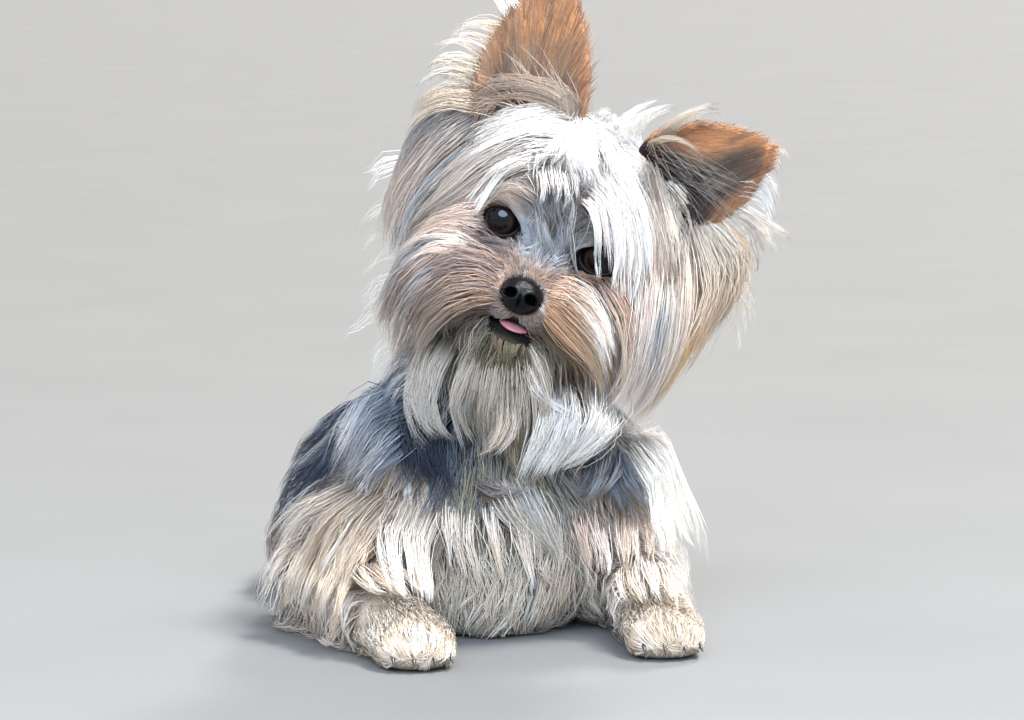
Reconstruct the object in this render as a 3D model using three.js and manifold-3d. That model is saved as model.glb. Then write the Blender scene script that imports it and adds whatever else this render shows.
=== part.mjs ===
// A life-size Yorkshire terrier lying on its chest, head up and tilted to its own left.
// Millimetres, +Z up, floor at z = 0. The dog's nose points along -Y, its left side is +X.
// Each solid has the outer form of the coat: the body's flesh and bone plus the depth of hair on it.
// The forms are implicit: round-ended bones and ovals, blended into one another, then walked into a
// closed surface and parted with thin cuts.
import * as THREE from "three";
import { mergeVertices } from "three/addons/utils/BufferGeometryUtils.js";
import Module from "manifold-3d";

// ---------------------------------------------------------------- sizes and pose
const GAP = 0.35; // between neighbouring solids
const FACET = 1.9; // how far a flat facet may stand off the true surface
const ORIGIN_SHIFT = [-6.756, -93.785, 0]; // brings the model's box to stand centred on the origin

const HEAD_AT = [29.6, 7.0, 172.3]; // centre of the skull
const HEAD_YAW = 21; // degrees towards the dog's right
const HEAD_PITCH = 4; // degrees nose-down
const HEAD_ROLL = 22; // degrees, crown towards the dog's left

const BODY_COAT = 13; // depth of the coat on the trunk
const NECK_COAT = 14;
const ARM_COAT = 17; // fluffy sleeves of the forelegs
const THIGH_COAT = 13;
const PAW_COAT = 7;
const TAIL_COAT = 13;
const BODY_BLEND = 14;
const HEAD_BLEND = 13;

const EYE_R = 9.5;
const EYE_AT = [20.8, -25, -3];
const NOSE_AT = [-1.1, -62, -23.2];
const NOSE_R = [8.9, 6.8, 7.2];
const TONGUE_AT = [0.6, -54.5, -36.9];
const TONGUE_R = [6.6, 7.6, 1.8];

// each ear is a leaf: base, tip, the way its hollow faces, half-widths towards the crown and away from it
const EAR = {
  thick: 5.6,
  right: { base: [-27, 5, 20], tip: [-40, 9, 98], face: [-0.25, -1, 0.1], inner: 28, outer: 24, scoop: 0.014, curl: 0 },
  left: { base: [38, 4, 28], tip: [70, -3, 65], face: [0.05, -1, -0.3], inner: 31, outer: 19, scoop: 0.014, curl: 7 },
};

const TINT = {
  head: 0xd9c3a8, ear: 0xb07a4e, neck: 0x8a8890, trunk: 0x5c5f6b, limb: 0xd6bc9c,
  tail: 0x4c4e58, eye: 0x1b120d, nose: 0x15161a, tongue: 0xc9797f,
};

// ---------------------------------------------------------------- implicit forms
const clamp = (x, a, b) => Math.min(b, Math.max(a, x));

// a bone with rounded ends of radii ra and rb; wide stretches it sideways
const bone = (a, b, ra, rb, wide = 1) => (x, y, z) => {
  const ax = a[0] / wide, bx = b[0] / wide;
  const px = x / wide - ax, py = y - a[1], pz = z - a[2];
  const dx = bx - ax, dy = b[1] - a[1], dz = b[2] - a[2];
  const h = clamp((px * dx + py * dy + pz * dz) / (dx * dx + dy * dy + dz * dz), 0, 1);
  return Math.hypot(px - dx * h, py - dy * h, pz - dz * h) - (ra + (rb - ra) * h);
};

const oval = (c, r) => (x, y, z) => {
  const px = (x - c[0]) / r[0], py = (y - c[1]) / r[1], pz = (z - c[2]) / r[2];
  const k0 = Math.hypot(px, py, pz);
  const k1 = Math.hypot(px / r[0], py / r[1], pz / r[2]);
  return k1 > 1e-9 ? (k0 * (k0 - 1)) / k1 : -Math.min(...r);
};

const smin = (a, b, k) => {
  const h = Math.max(k - Math.abs(a - b), 0) / k;
  return Math.min(a, b) - h * h * k * 0.25;
};
const blend = (forms, k) => (x, y, z) => {
  let d = forms[0](x, y, z);
  for (let i = 1; i < forms.length; i++) d = smin(d, forms[i](x, y, z), k);
  return d;
};
// form with a hollow pressed into it
const hollow = (form, cut, k) => (x, y, z) => -smin(-form(x, y, z), cut(x, y, z), k);

// ---------------------------------------------------------------- surface walker
const steps = (...runs) => {
  // grid lines from [start, end, pitch] runs, end to end
  const out = [runs[0][0]];
  for (const [a, b, pitch] of runs) {
    const n = Math.max(1, Math.round((b - a) / pitch));
    for (let i = 1; i <= n; i++) out.push(a + ((b - a) * i) / n);
  }
  return out;
};

function surface(form, gx, gy, gz) {
  const nx = gx.length, ny = gy.length, nz = gz.length;
  const val = new Float64Array(nx * ny * nz);
  const at = (i, j, k) => (i * ny + j) * nz + k;
  for (let i = 0; i < nx; i++)
    for (let j = 0; j < ny; j++)
      for (let k = 0; k < nz; k++) val[at(i, j, k)] = form(gx[i], gy[j], gz[k]) || 1e-6;
  const cell = new Int32Array(nx * ny * nz).fill(-1);
  const verts = [], tris = [];
  const cornersOf = [[0, 0, 0], [1, 0, 0], [0, 1, 0], [1, 1, 0], [0, 0, 1], [1, 0, 1], [0, 1, 1], [1, 1, 1]];
  const edges = [[0, 1], [2, 3], [4, 5], [6, 7], [0, 2], [1, 3], [4, 6], [5, 7], [0, 4], [1, 5], [2, 6], [3, 7]];
  const e = 0.4;
  const settle = (p) => {
    // moves a vertex along the gradient onto the true surface
    for (let n = 0; n < 3; n++) {
      const d = form(...p);
      const g = [
        form(p[0] + e, p[1], p[2]) - form(p[0] - e, p[1], p[2]),
        form(p[0], p[1] + e, p[2]) - form(p[0], p[1] - e, p[2]),
        form(p[0], p[1], p[2] + e) - form(p[0], p[1], p[2] - e),
      ].map((v) => v / (2 * e));
      const gg = g[0] ** 2 + g[1] ** 2 + g[2] ** 2;
      if (gg < 1e-6) return;
      const s = clamp(d / gg, -0.9, 0.9);
      for (let m = 0; m < 3; m++) p[m] -= g[m] * s;
    }
  };
  for (let i = 0; i < nx - 1; i++)
    for (let j = 0; j < ny - 1; j++)
      for (let k = 0; k < nz - 1; k++) {
        const d = cornersOf.map((c) => val[at(i + c[0], j + c[1], k + c[2])]);
        const inside = d.filter((v) => v < 0).length;
        if (inside === 0 || inside === 8) continue;
        const sum = [0, 0, 0];
        let n = 0;
        for (const [a, b] of edges)
          if (d[a] < 0 !== d[b] < 0) {
            const t = d[a] / (d[a] - d[b]);
            const ca = cornersOf[a], cb = cornersOf[b];
            sum[0] += gx[i + ca[0]] * (1 - t) + gx[i + cb[0]] * t;
            sum[1] += gy[j + ca[1]] * (1 - t) + gy[j + cb[1]] * t;
            sum[2] += gz[k + ca[2]] * (1 - t) + gz[k + cb[2]] * t;
            n++;
          }
        const p = sum.map((v) => v / n);
        settle(p);
        cell[at(i, j, k)] = verts.length / 3;
        verts.push(...p);
      }
  const quad = (a, b, c, d, flip) => {
    if (flip) tris.push(a, c, b, a, d, c);
    else tris.push(a, b, c, a, c, d);
  };
  for (let i = 1; i < nx - 1; i++)
    for (let j = 1; j < ny - 1; j++)
      for (let k = 1; k < nz - 1; k++) {
        const here = val[at(i, j, k)] < 0;
        if (i + 1 < nx && here !== val[at(i + 1, j, k)] < 0)
          quad(cell[at(i, j - 1, k - 1)], cell[at(i, j, k - 1)], cell[at(i, j, k)], cell[at(i, j - 1, k)], !here);
        if (j + 1 < ny && here !== val[at(i, j + 1, k)] < 0)
          quad(cell[at(i - 1, j, k - 1)], cell[at(i - 1, j, k)], cell[at(i, j, k)], cell[at(i, j, k - 1)], !here);
        if (k + 1 < nz && here !== val[at(i, j, k + 1)] < 0)
          quad(cell[at(i - 1, j - 1, k)], cell[at(i, j - 1, k)], cell[at(i, j, k)], cell[at(i - 1, j, k)], !here);
      }
  return { verts: new Float32Array(verts), tris: new Uint32Array(tris) };
}

// ---------------------------------------------------------------- solids
const wasm = await Module();
wasm.setup();
const solidOf = ({ verts, tris }) =>
  new wasm.Manifold(new wasm.Mesh({ numProp: 3, vertProperties: verts, triVerts: tris }));
const solidOfGeometry = (geometry, matrix) => {
  const g = geometry.clone();
  g.deleteAttribute("normal");
  g.deleteAttribute("uv");
  if (matrix) g.applyMatrix4(matrix);
  const m = mergeVertices(g, 1e-4);
  return solidOf({ verts: m.attributes.position.array, tris: new Uint32Array(m.index.array) });
};
// the same solid with every vertex moved out along its normal
const inflate = (solid, by) => {
  const m = solid.getMesh();
  const g = new THREE.BufferGeometry()
    .setAttribute("position", new THREE.BufferAttribute(new Float32Array(m.vertProperties), 3))
    .setIndex(new THREE.BufferAttribute(new Uint32Array(m.triVerts), 1));
  g.computeVertexNormals();
  const p = g.attributes.position.array, n = g.attributes.normal.array;
  return solidOf({ verts: p.map((v, i) => v + n[i] * by), tris: g.index.array });
};
const largest = (s) => s.decompose().sort((a, b) => b.volume() - a.volume())[0];
const block = (low, high, turn = 0, about = [0, 0, 0]) => {
  const g = new THREE.BoxGeometry(high[0] - low[0], high[1] - low[1], high[2] - low[2]);
  g.translate((low[0] + high[0]) / 2, (low[1] + high[1]) / 2, (low[2] + high[2]) / 2);
  g.translate(-about[0], -about[1], -about[2]);
  g.rotateZ(THREE.MathUtils.degToRad(turn));
  g.translate(...about);
  return solidOfGeometry(g);
};
// a half-space: everything on the far side of the point, along the direction
const beyond = (point, direction, shift = 0) => {
  const size = 700;
  const g = new THREE.BoxGeometry(size, size, size);
  g.translate(0, 0, size / 2 + shift);
  const q = new THREE.Quaternion().setFromUnitVectors(
    new THREE.Vector3(0, 0, 1), new THREE.Vector3(...direction).normalize());
  g.applyQuaternion(q);
  g.translate(...point);
  return solidOfGeometry(g);
};

// ---------------------------------------------------------------- head frame
const rad = THREE.MathUtils.degToRad;
const headMatrix = (() => {
  const yaw = rad(HEAD_YAW), pitch = rad(HEAD_PITCH), roll = rad(HEAD_ROLL);
  const f = new THREE.Vector3(-Math.sin(yaw) * Math.cos(pitch), -Math.cos(yaw) * Math.cos(pitch), -Math.sin(pitch));
  const left0 = new THREE.Vector3(0, 0, 1).cross(f).normalize();
  const up0 = f.clone().cross(left0);
  const up = up0.clone().multiplyScalar(Math.cos(roll)).addScaledVector(left0, Math.sin(roll));
  const left = left0.clone().multiplyScalar(Math.cos(roll)).addScaledVector(up0, -Math.sin(roll));
  return new THREE.Matrix4().makeBasis(left, f.clone().negate(), up).setPosition(...HEAD_AT);
})();
const headInverse = headMatrix.clone().invert();
const fromHead = (p) => new THREE.Vector3(...p).applyMatrix4(headMatrix).toArray();

// ---------------------------------------------------------------- the coat of the head, in its own frame
const both = (make) => [-1, 1].map(make);
const headForms = [
  oval([0, 4, 5], [45, 48, 41]), // crown and skull
  oval([0, -18, -10], [36, 26, 30]), // forehead, brow and cheeks
  bone([0, -24, -19], [0, -46, -29], 23, 16.5), // muzzle
  ...both((s) => oval([s * 20, -36, -36], [24, 21, 19])), // moustache
  oval([40, -2, -28], [31, 36, 46]), // hair hanging from the left ear and cheek
  oval([-36, -2, -26], [30, 36, 42]), // the same on the right
  oval([56, 14, 2], [21, 17, 33]), // fringe below the left ear
  oval([-49, 14, 12], [20, 17, 31]), // fringe below the right ear
  oval([13, -24, -59], [42, 28, 44]), // beard, hanging straight down from the tilted chin
  oval([8, 14, -40], [46, 34, 40]), // throat hair
];
const eyeHollow = both((s) => oval([s * 20.5, -39, -4], [9.5, 12, 7.5]));
let headCoat = blend(headForms, HEAD_BLEND);
for (const h of eyeHollow) headCoat = hollow(headCoat, h, 5);
headCoat = hollow(headCoat, oval([0.5, -66, -37.8], [15, 15, 4.4]), 3); // parted lips

// ---------------------------------------------------------------- the coat of the body
const SKULL_BASE = fromHead([0, 14, -20]);
const neckForm = bone([2, 34, 80], SKULL_BASE, 38 + NECK_COAT - 4, 30 + NECK_COAT - 4);
const trunkForms = [
  bone([2, 42, 50], [4, 92, 50], 44 + BODY_COAT, 46 + BODY_COAT, 0.94), // rib cage
  bone([4, 92, 50], [22, 170, 44], 45 + BODY_COAT, 36 + BODY_COAT, 0.98), // loin and croup
  bone([2, 44, 84], [3, 72, 80], 28 + BODY_COAT, 22 + BODY_COAT), // withers
  oval([3, 12, 42], [47, 34, 50]), // breast hair
  neckForm,
];
const foreForms = (s) => [
  bone([3 + s * 36, 18, 68], [3 + s * 66, 46, 24], 22 + ARM_COAT * 0.9, 15 + ARM_COAT), // upper arm
  bone([3 + s * 66, 46, 22], [3 + s * 57, -24, 14], 14 + ARM_COAT, 10 + ARM_COAT * 0.8), // forearm
  bone([3 + s * 57, -24, 13], [3 + s * 52, -60, 11], 11 + PAW_COAT * 1.3, 11 + PAW_COAT), // wrist and paw
];
const HIP_SHIFT = 20; // the hindquarters lie a little to the dog's left of the chest
const hindForms = (s) => [
  bone([HIP_SHIFT + s * 30, 160, 46], [HIP_SHIFT + s * 55, 116, 32], 30 + THIGH_COAT, 20 + THIGH_COAT), // thigh
  bone([HIP_SHIFT + s * 55, 116, 32], [HIP_SHIFT + s * 60, 174, 20], 20 + THIGH_COAT, 12 + THIGH_COAT), // shank
  bone([HIP_SHIFT + s * 61, 170, 12], [HIP_SHIFT + s * 64, 112, 10], 10 + PAW_COAT, 10 + PAW_COAT), // hock to toes
];
const bodyForms = [...trunkForms, ...both(foreForms).flat(), ...both(hindForms).flat()];
const bodyCoat = blend(bodyForms, BODY_BLEND);

const tailForms = [
  bone([22, 200, 56], [30, 230, 38], 10 + TAIL_COAT, 8 + TAIL_COAT),
  bone([30, 230, 38], [48, 244, 19], 8 + TAIL_COAT, 6 + TAIL_COAT),
  bone([48, 244, 19], [74, 242, 14], 6 + TAIL_COAT, 4 + TAIL_COAT),
  bone([74, 242, 14], [98, 228, 10], 4 + TAIL_COAT, 6),
];
const tailCoat = blend(tailForms, 10);

// ---------------------------------------------------------------- walk and part
const FLOOR = beyond([0, 0, 0], [0, 0, 1]);
const bodySolid = largest(
  solidOf(surface(bodyCoat, steps([-120, 130, 9]), steps([-98, 260, 9]), steps([-27, 216, 9])))
    .intersect(FLOOR)).simplify(FACET);
const HEAD_GRID = [
  steps([-84, -35, 8.2], [-35, 35, 5], [35, 92, 8.2]),
  steps([-90, -24, 5.5], [-24, 76, 8.5]),
  steps([-118, -52, 8.2], [-52, 10, 5], [10, 64, 8.2]),
];
const headSolid = largest(solidOf(surface(headCoat, ...HEAD_GRID)).simplify(FACET * 0.6));

const earSolid = (side) => {
  const { base, tip, face, inner, outer, scoop, curl } = EAR[side];
  const along = new THREE.Vector3().subVectors(new THREE.Vector3(...tip), new THREE.Vector3(...base));
  const length = along.length();
  along.normalize();
  const front = new THREE.Vector3(...face);
  front.addScaledVector(along, -front.dot(along)).normalize();
  const across = new THREE.Vector3().crossVectors(along, front); // towards the dog's left
  const toCrown = side === "left" ? -1 : 1;
  const g = new THREE.SphereGeometry(1, 18, 12);
  const p = g.attributes.position;
  const v = new THREE.Vector3();
  for (let i = 0; i < p.count; i++) {
    v.fromBufferAttribute(p, i);
    const t = (v.y + 1) / 2; // 0 at the base, 1 at the tip
    const rim = Math.sqrt(Math.max(0, 1 - v.y * v.y)) || 1e-9;
    const u = v.x / rim, w = v.z / rim;
    const profile = Math.pow(Math.sin(Math.PI * clamp(0.3 + 0.7 * t, 0, 0.9999)), 0.82) * Math.min(1, rim * 3);
    const x = u * (u * toCrown > 0 ? inner : outer) * profile;
    const n = scoop * x * x * (1 - 0.35 * t) + w * (EAR.thick / 2) * Math.min(1, rim * 2.2) + curl * t * t;
    v.set(...base).addScaledVector(along, t * length).addScaledVector(across, x).addScaledVector(front, n);
    p.setXYZ(i, v.x, v.y, v.z);
  }
  return solidOfGeometry(g);
};
const ball = (at, r, w = 16, h = 10) => {
  const g = new THREE.SphereGeometry(1, w, h);
  g.scale(...[].concat(r, r, r).slice(0, 3));
  g.translate(...at);
  return solidOfGeometry(g);
};
const noseSolid = () => {
  // broad rounded pad, flatter below, with two nostrils pressed in
  const g = new THREE.SphereGeometry(1, 22, 14);
  const p = g.attributes.position;
  for (let i = 0; i < p.count; i++) {
    const x = p.getX(i), y = p.getY(i), z = p.getZ(i);
    const wide = 1 + 0.1 * z;
    let dent = 0;
    if (y < 0) {
      for (const s of [-1, 1]) dent += 0.34 * Math.exp(-(((x - s * 0.48) / 0.25) ** 2 + ((z - 0.02) / 0.27) ** 2));
      dent += 0.1 * Math.exp(-((x / 0.1) ** 2)) * clamp(0.3 - z, 0, 1);
    }
    p.setXYZ(i, NOSE_AT[0] + x * wide * NOSE_R[0], NOSE_AT[1] + (y + dent) * NOSE_R[1], NOSE_AT[2] + z * NOSE_R[2]);
  }
  return solidOfGeometry(g);
};

const flip = (p) => [-p[0], p[1], p[2]];
const eyesAt = { right: flip(EYE_AT), left: EYE_AT };
const local = {};
for (const side of ["right", "left"]) {
  local["eye_" + side] = ball(eyesAt[side], EYE_R);
}
local.nose = noseSolid();
local.tongue = ball(TONGUE_AT, TONGUE_R, 12, 8);
let head = headSolid;
for (const side of ["right", "left"]) local["ear_" + side] = earSolid(side);
for (const part of Object.values(local)) head = head.subtract(inflate(part, GAP));
local.head = largest(head);

const world = {};
let body = largest(bodySolid.subtract(inflate(headSolid, 1.6 * GAP).transform(headMatrix.elements)));
const TAIL_GRID = [steps([-14, 122, 8]), steps([158, 280, 8]), steps([-22, 94, 8])];
const tail = largest(solidOf(surface(tailCoat, ...TAIL_GRID)).simplify(FACET * 0.6));
const TAIL_ROOT = [[22, 208, 54], [0.2, 1, -0.3]];
world.tail = largest(tail.intersect(FLOOR).intersect(beyond(...TAIL_ROOT)));
body = largest(body.subtract(inflate(tail, 1.6 * GAP).intersect(beyond(...TAIL_ROOT, -GAP))));

const limb = (names, low, high, turn, about, split) => {
  const piece = largest(body.intersect(block(low, high, turn, about)));
  const margin = (v, s) => v.map((c) => c + s * GAP);
  body = largest(body.subtract(block(margin(low, -1), margin(high, 1), turn, about)));
  world[names[0]] = largest(piece.intersect(beyond(split.point, split.direction)));
  world[names[1]] = largest(piece.subtract(beyond(split.point, split.direction, -GAP)));
};
for (const s of [-1, 1]) {
  const side = s < 0 ? "right" : "left";
  const x = (a, b) => (s < 0 ? [-b, -a] : [a, b]);
  const [f0, f1] = x(43, 140), [h0, h1] = [HIP_SHIFT, HIP_SHIFT].map((c, i) => c + x(42, 110)[i]);
  limb(["foreleg_" + side, "forepaw_" + side], [f0, -120, -5], [f1, 72, 84], s * -8, [s * 43, 30, 0],
    { point: [s * 56, -22, 14], direction: [0, 1, 0.15] });
  limb(["hindleg_" + side, "hindpaw_" + side], [h0, 86, -5], [h1, 208, 88], 0, [0, 0, 0],
    { point: [HIP_SHIFT + s * 60, 130, 18], direction: [0, 0.35, 1] });
}
const NECK_CUT = { point: [6, 34, 104], direction: [0.28, -0.1, 1] };
world.neck = largest(body.intersect(beyond(NECK_CUT.point, NECK_CUT.direction)));
world.trunk = largest(body.subtract(beyond(NECK_CUT.point, NECK_CUT.direction, -GAP)));

// ---------------------------------------------------------------- the scene graph
const meshOf = (name, solid, tint, roughness = 0.85) => {
  const m = solid.simplify(0.1).getMesh();
  const p = new Float32Array(m.numVert * 3);
  for (let i = 0; i < m.numVert; i++) for (let k = 0; k < 3; k++) p[i * 3 + k] = m.vertProperties[i * m.numProp + k];
  const g = new THREE.BufferGeometry()
    .setAttribute("position", new THREE.BufferAttribute(p, 3))
    .setIndex(new THREE.BufferAttribute(new Uint32Array(m.triVerts), 1));
  g.computeVertexNormals();
  const mesh = new THREE.Mesh(g, new THREE.MeshStandardMaterial({ color: tint, roughness, metalness: 0 }));
  mesh.name = name;
  return mesh;
};
const tintOf = (name) =>
  TINT[Object.keys(TINT).find((k) => name.startsWith(k)) ?? "limb"];

const dog = new THREE.Group();
const headGroup = new THREE.Group();
headGroup.applyMatrix4(headMatrix);
for (const [name, s] of Object.entries(local))
  headGroup.add(meshOf(name, s, tintOf(name), /eye|nose|tongue/.test(name) ? 0.25 : 0.85));
dog.add(headGroup);
for (const [name, s] of Object.entries(world)) dog.add(meshOf(name, s, tintOf(name)));
dog.position.set(...ORIGIN_SHIFT);

export default dog;
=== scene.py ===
# A life-size Yorkshire terrier lying on its chest: one skin, glossy eyes, nose, tongue and claws,
# and a long silky coat of solid mesh locks that follow the lie of the hair.
# Worked out in millimetres in the body's own frame: nose towards -Y, the dog's left towards +X, floor z = 0.
import math

import bpy
import numpy as np
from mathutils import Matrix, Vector
from mathutils.kdtree import KDTree


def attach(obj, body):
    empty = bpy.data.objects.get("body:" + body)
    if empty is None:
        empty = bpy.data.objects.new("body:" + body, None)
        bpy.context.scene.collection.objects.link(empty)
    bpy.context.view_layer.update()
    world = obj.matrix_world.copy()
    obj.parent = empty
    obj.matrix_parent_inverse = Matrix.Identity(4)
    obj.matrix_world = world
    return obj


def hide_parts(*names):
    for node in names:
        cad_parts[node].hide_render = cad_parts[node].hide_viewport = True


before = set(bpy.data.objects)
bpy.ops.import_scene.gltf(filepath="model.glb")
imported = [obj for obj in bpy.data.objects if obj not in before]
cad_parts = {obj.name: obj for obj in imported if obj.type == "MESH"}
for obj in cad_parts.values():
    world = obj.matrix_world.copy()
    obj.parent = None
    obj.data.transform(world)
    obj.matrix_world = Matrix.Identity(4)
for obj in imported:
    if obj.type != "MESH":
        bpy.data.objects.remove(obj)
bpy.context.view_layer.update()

F32 = np.float32
rng = np.random.default_rng(1207)

# ------------------------------------------------------------------ landmarks, as in the solids
SHIFT = np.array([-6.756, -93.785, 0.0])
HEAD_AT = np.array([29.6, 7.0, 172.3])
YAW, PITCH, ROLL = (math.radians(v) for v in (21, 4, 22))
BODY_COAT, NECK_COAT, ARM_COAT, THIGH_COAT, PAW_COAT, TAIL_COAT = 13, 14, 17, 13, 7, 13
HIP = 20
EYE_AT, EYE_R = (20.8, -25.0, -3.0), 9.5
NOSE_AT, NOSE_R = (-1.1, -62.0, -23.2), (8.9, 6.8, 7.2)
TONGUE_AT, TONGUE_R = (0.6, -54.5, -36.9), (6.6, 7.6, 1.8)
EAR = {
    "right": dict(base=(-27, 5, 20), tip=(-40, 9, 98), face=(-0.25, -1, 0.1), inner=28, outer=24, scoop=0.014, curl=0),
    "left": dict(base=(38, 4, 28), tip=(70, -3, 65), face=(0.05, -1, -0.3), inner=31, outer=19, scoop=0.014, curl=7),
}


def unit(v):
    v = np.asarray(v, float)
    return v / np.maximum(np.linalg.norm(v, axis=-1, keepdims=True), 1e-9)


_f = np.array([-math.sin(YAW) * math.cos(PITCH), -math.cos(YAW) * math.cos(PITCH), -math.sin(PITCH)])
_l0 = unit(np.cross([0, 0, 1], _f))
_u0 = np.cross(_f, _l0)
HEAD_UP = _u0 * math.cos(ROLL) + _l0 * math.sin(ROLL)
HEAD_LEFT = _l0 * math.cos(ROLL) - _u0 * math.sin(ROLL)
HEAD_R = np.stack([HEAD_LEFT, -_f, HEAD_UP], 1)  # columns: the head's x, y, z in the body's frame


def from_head(p):
    return np.asarray(p, float) @ HEAD_R.T + HEAD_AT


def to_head(p):
    return (np.asarray(p, float) - HEAD_AT) @ HEAD_R


def dir_from_head(v):
    return np.asarray(v, float) @ HEAD_R.T


# ------------------------------------------------------------------ implicit forms: (distance function, low, high)
def bone(a, b, ra, rb, wide=1.0):
    a, b = np.array(a, float), np.array(b, float)
    ax, bx = a[0] / wide, b[0] / wide
    dx, dy, dz = bx - ax, b[1] - a[1], b[2] - a[2]
    dd = dx * dx + dy * dy + dz * dz

    def fn(x, y, z):
        px, py, pz = x / wide - ax, y - a[1], z - a[2]
        h = np.clip((px * dx + py * dy + pz * dz) / dd, 0, 1)
        return np.sqrt((px - dx * h) ** 2 + (py - dy * h) ** 2 + (pz - dz * h) ** 2) - (ra + (rb - ra) * h)

    r = np.array([max(ra, rb) * wide, max(ra, rb), max(ra, rb)])
    return fn, np.minimum(a, b) - r, np.maximum(a, b) + r


def oval(c, r):
    c, r = np.array(c, float), np.array(r, float)

    def fn(x, y, z):
        px, py, pz = (x - c[0]) / r[0], (y - c[1]) / r[1], (z - c[2]) / r[2]
        k0 = np.sqrt(px * px + py * py + pz * pz)
        k1 = np.sqrt((px / r[0]) ** 2 + (py / r[1]) ** 2 + (pz / r[2]) ** 2)
        return k0 * (k0 - 1) / np.maximum(k1, 1e-6)

    return fn, c - r, c + r


def in_head(form):
    """The form, given in the head's frame, as one in the body's."""
    fn, lo, hi = form

    def turned(x, y, z):
        px, py, pz = x - HEAD_AT[0], y - HEAD_AT[1], z - HEAD_AT[2]
        return fn(
            px * HEAD_R[0, 0] + py * HEAD_R[1, 0] + pz * HEAD_R[2, 0],
            px * HEAD_R[0, 1] + py * HEAD_R[1, 1] + pz * HEAD_R[2, 1],
            px * HEAD_R[0, 2] + py * HEAD_R[1, 2] + pz * HEAD_R[2, 2],
        )

    corners = from_head([[x, y, z] for x in (lo[0], hi[0]) for y in (lo[1], hi[1]) for z in (lo[2], hi[2])])
    return turned, corners.min(0), corners.max(0)


def smin(a, b, k):
    h = np.maximum(k - np.abs(a - b), 0) / k
    return np.minimum(a, b) - h * h * k * 0.25


def smax(a, b, k):
    return -smin(-a, -b, k)


def ear_axes(side):
    e = EAR[side]
    base, tip = np.array(e["base"], float), np.array(e["tip"], float)
    length = np.linalg.norm(tip - base)
    along = (tip - base) / length
    front = np.array(e["face"], float)
    front = unit(front - along * (front @ along))
    return base, along, front, np.cross(along, front), length


def ear_coords(side, x, y, z):
    """Along the ear 0..1, across in mm (towards the crown positive), and off its curved mid-surface in mm."""
    e = EAR[side]
    base, along, front, across, length = ear_axes(side)
    px, py, pz = x - base[0], y - base[1], z - base[2]
    t = (px * along[0] + py * along[1] + pz * along[2]) / length
    u = px * across[0] + py * across[1] + pz * across[2]
    n = px * front[0] + py * front[1] + pz * front[2]
    tc = np.clip(t, 0, 1)
    bend = e["scoop"] * u * u * (1 - 0.35 * tc) + e["curl"] * tc * tc
    crown = u * (-1 if side == "left" else 1)
    half = np.where(crown > 0, e["inner"], e["outer"]) * np.sin(np.pi * np.clip(0.3 + 0.7 * tc, 0, 0.9999)) ** 0.82
    return t, crown, (n - bend) / np.sqrt(1 + (2 * e["scoop"] * u) ** 2), half


def ear_form(side, thick=2.6):
    length = ear_axes(side)[4]

    def fn(x, y, z):
        t, crown, n, half = ear_coords(side, x, y, z)
        edge = np.maximum(np.abs(crown) - half, np.maximum(-t, t - 1) * length)
        return smax(np.abs(n) - thick / 2, edge * 0.85, 1.6)

    base, along, front, across, length = ear_axes(side)
    ends = np.array([base, base + along * length])
    return fn, ends.min(0) - 32, ends.max(0) + 32


def both(make):
    return [make(-1), make(1)]


# ------------------------------------------------------------------ the coat's outline, as the solids have it
SKULL_BASE = from_head([0, 14, -20])
COAT_HEAD = [
    oval([0, 4, 5], [45, 48, 41]), oval([0, -18, -10], [36, 26, 30]),
    bone([0, -24, -19], [0, -46, -29], 23, 16.5),
    *both(lambda s: oval([s * 20, -36, -36], [24, 21, 19])),
    oval([40, -2, -28], [31, 36, 46]), oval([-36, -2, -26], [30, 36, 42]),
    oval([56, 14, 2], [21, 17, 33]), oval([-49, 14, 12], [20, 17, 31]),
    oval([13, -24, -59], [42, 28, 44]), oval([8, 14, -40], [46, 34, 40]),
]
COAT_BODY = [
    bone([2, 42, 50], [4, 92, 50], 44 + BODY_COAT, 46 + BODY_COAT, 0.94),
    bone([4, 92, 50], [22, 170, 44], 45 + BODY_COAT, 36 + BODY_COAT, 0.98),
    bone([2, 44, 84], [3, 72, 80], 28 + BODY_COAT, 22 + BODY_COAT),
    oval([3, 12, 42], [47, 34, 50]),
    bone([2, 34, 80], SKULL_BASE, 48, 40),
]
for _s in (-1, 1):
    COAT_BODY += [
        bone([3 + _s * 36, 18, 68], [3 + _s * 66, 46, 24], 22 + ARM_COAT * 0.9, 15 + ARM_COAT),
        bone([3 + _s * 66, 46, 22], [3 + _s * 57, -24, 14], 14 + ARM_COAT, 10 + ARM_COAT * 0.8),
        bone([3 + _s * 57, -24, 13], [3 + _s * 52, -60, 11], 11 + PAW_COAT * 1.3, 11 + PAW_COAT),
        bone([HIP + _s * 30, 160, 46], [HIP + _s * 55, 116, 32], 30 + THIGH_COAT, 20 + THIGH_COAT),
        bone([HIP + _s * 55, 116, 32], [HIP + _s * 60, 174, 20], 20 + THIGH_COAT, 12 + THIGH_COAT),
        bone([HIP + _s * 61, 170, 12], [HIP + _s * 64, 112, 10], 10 + PAW_COAT, 10 + PAW_COAT),
    ]
TAIL_LINE = [[22, 200, 56], [30, 230, 38], [48, 244, 19], [74, 242, 14], [98, 228, 10]]
COAT_TAIL = [
    bone(TAIL_LINE[i], TAIL_LINE[i + 1], a + TAIL_COAT, b + TAIL_COAT)
    for i, (a, b) in enumerate([(10, 8), (8, 6), (6, 4), (4, -7)])
]

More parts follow.
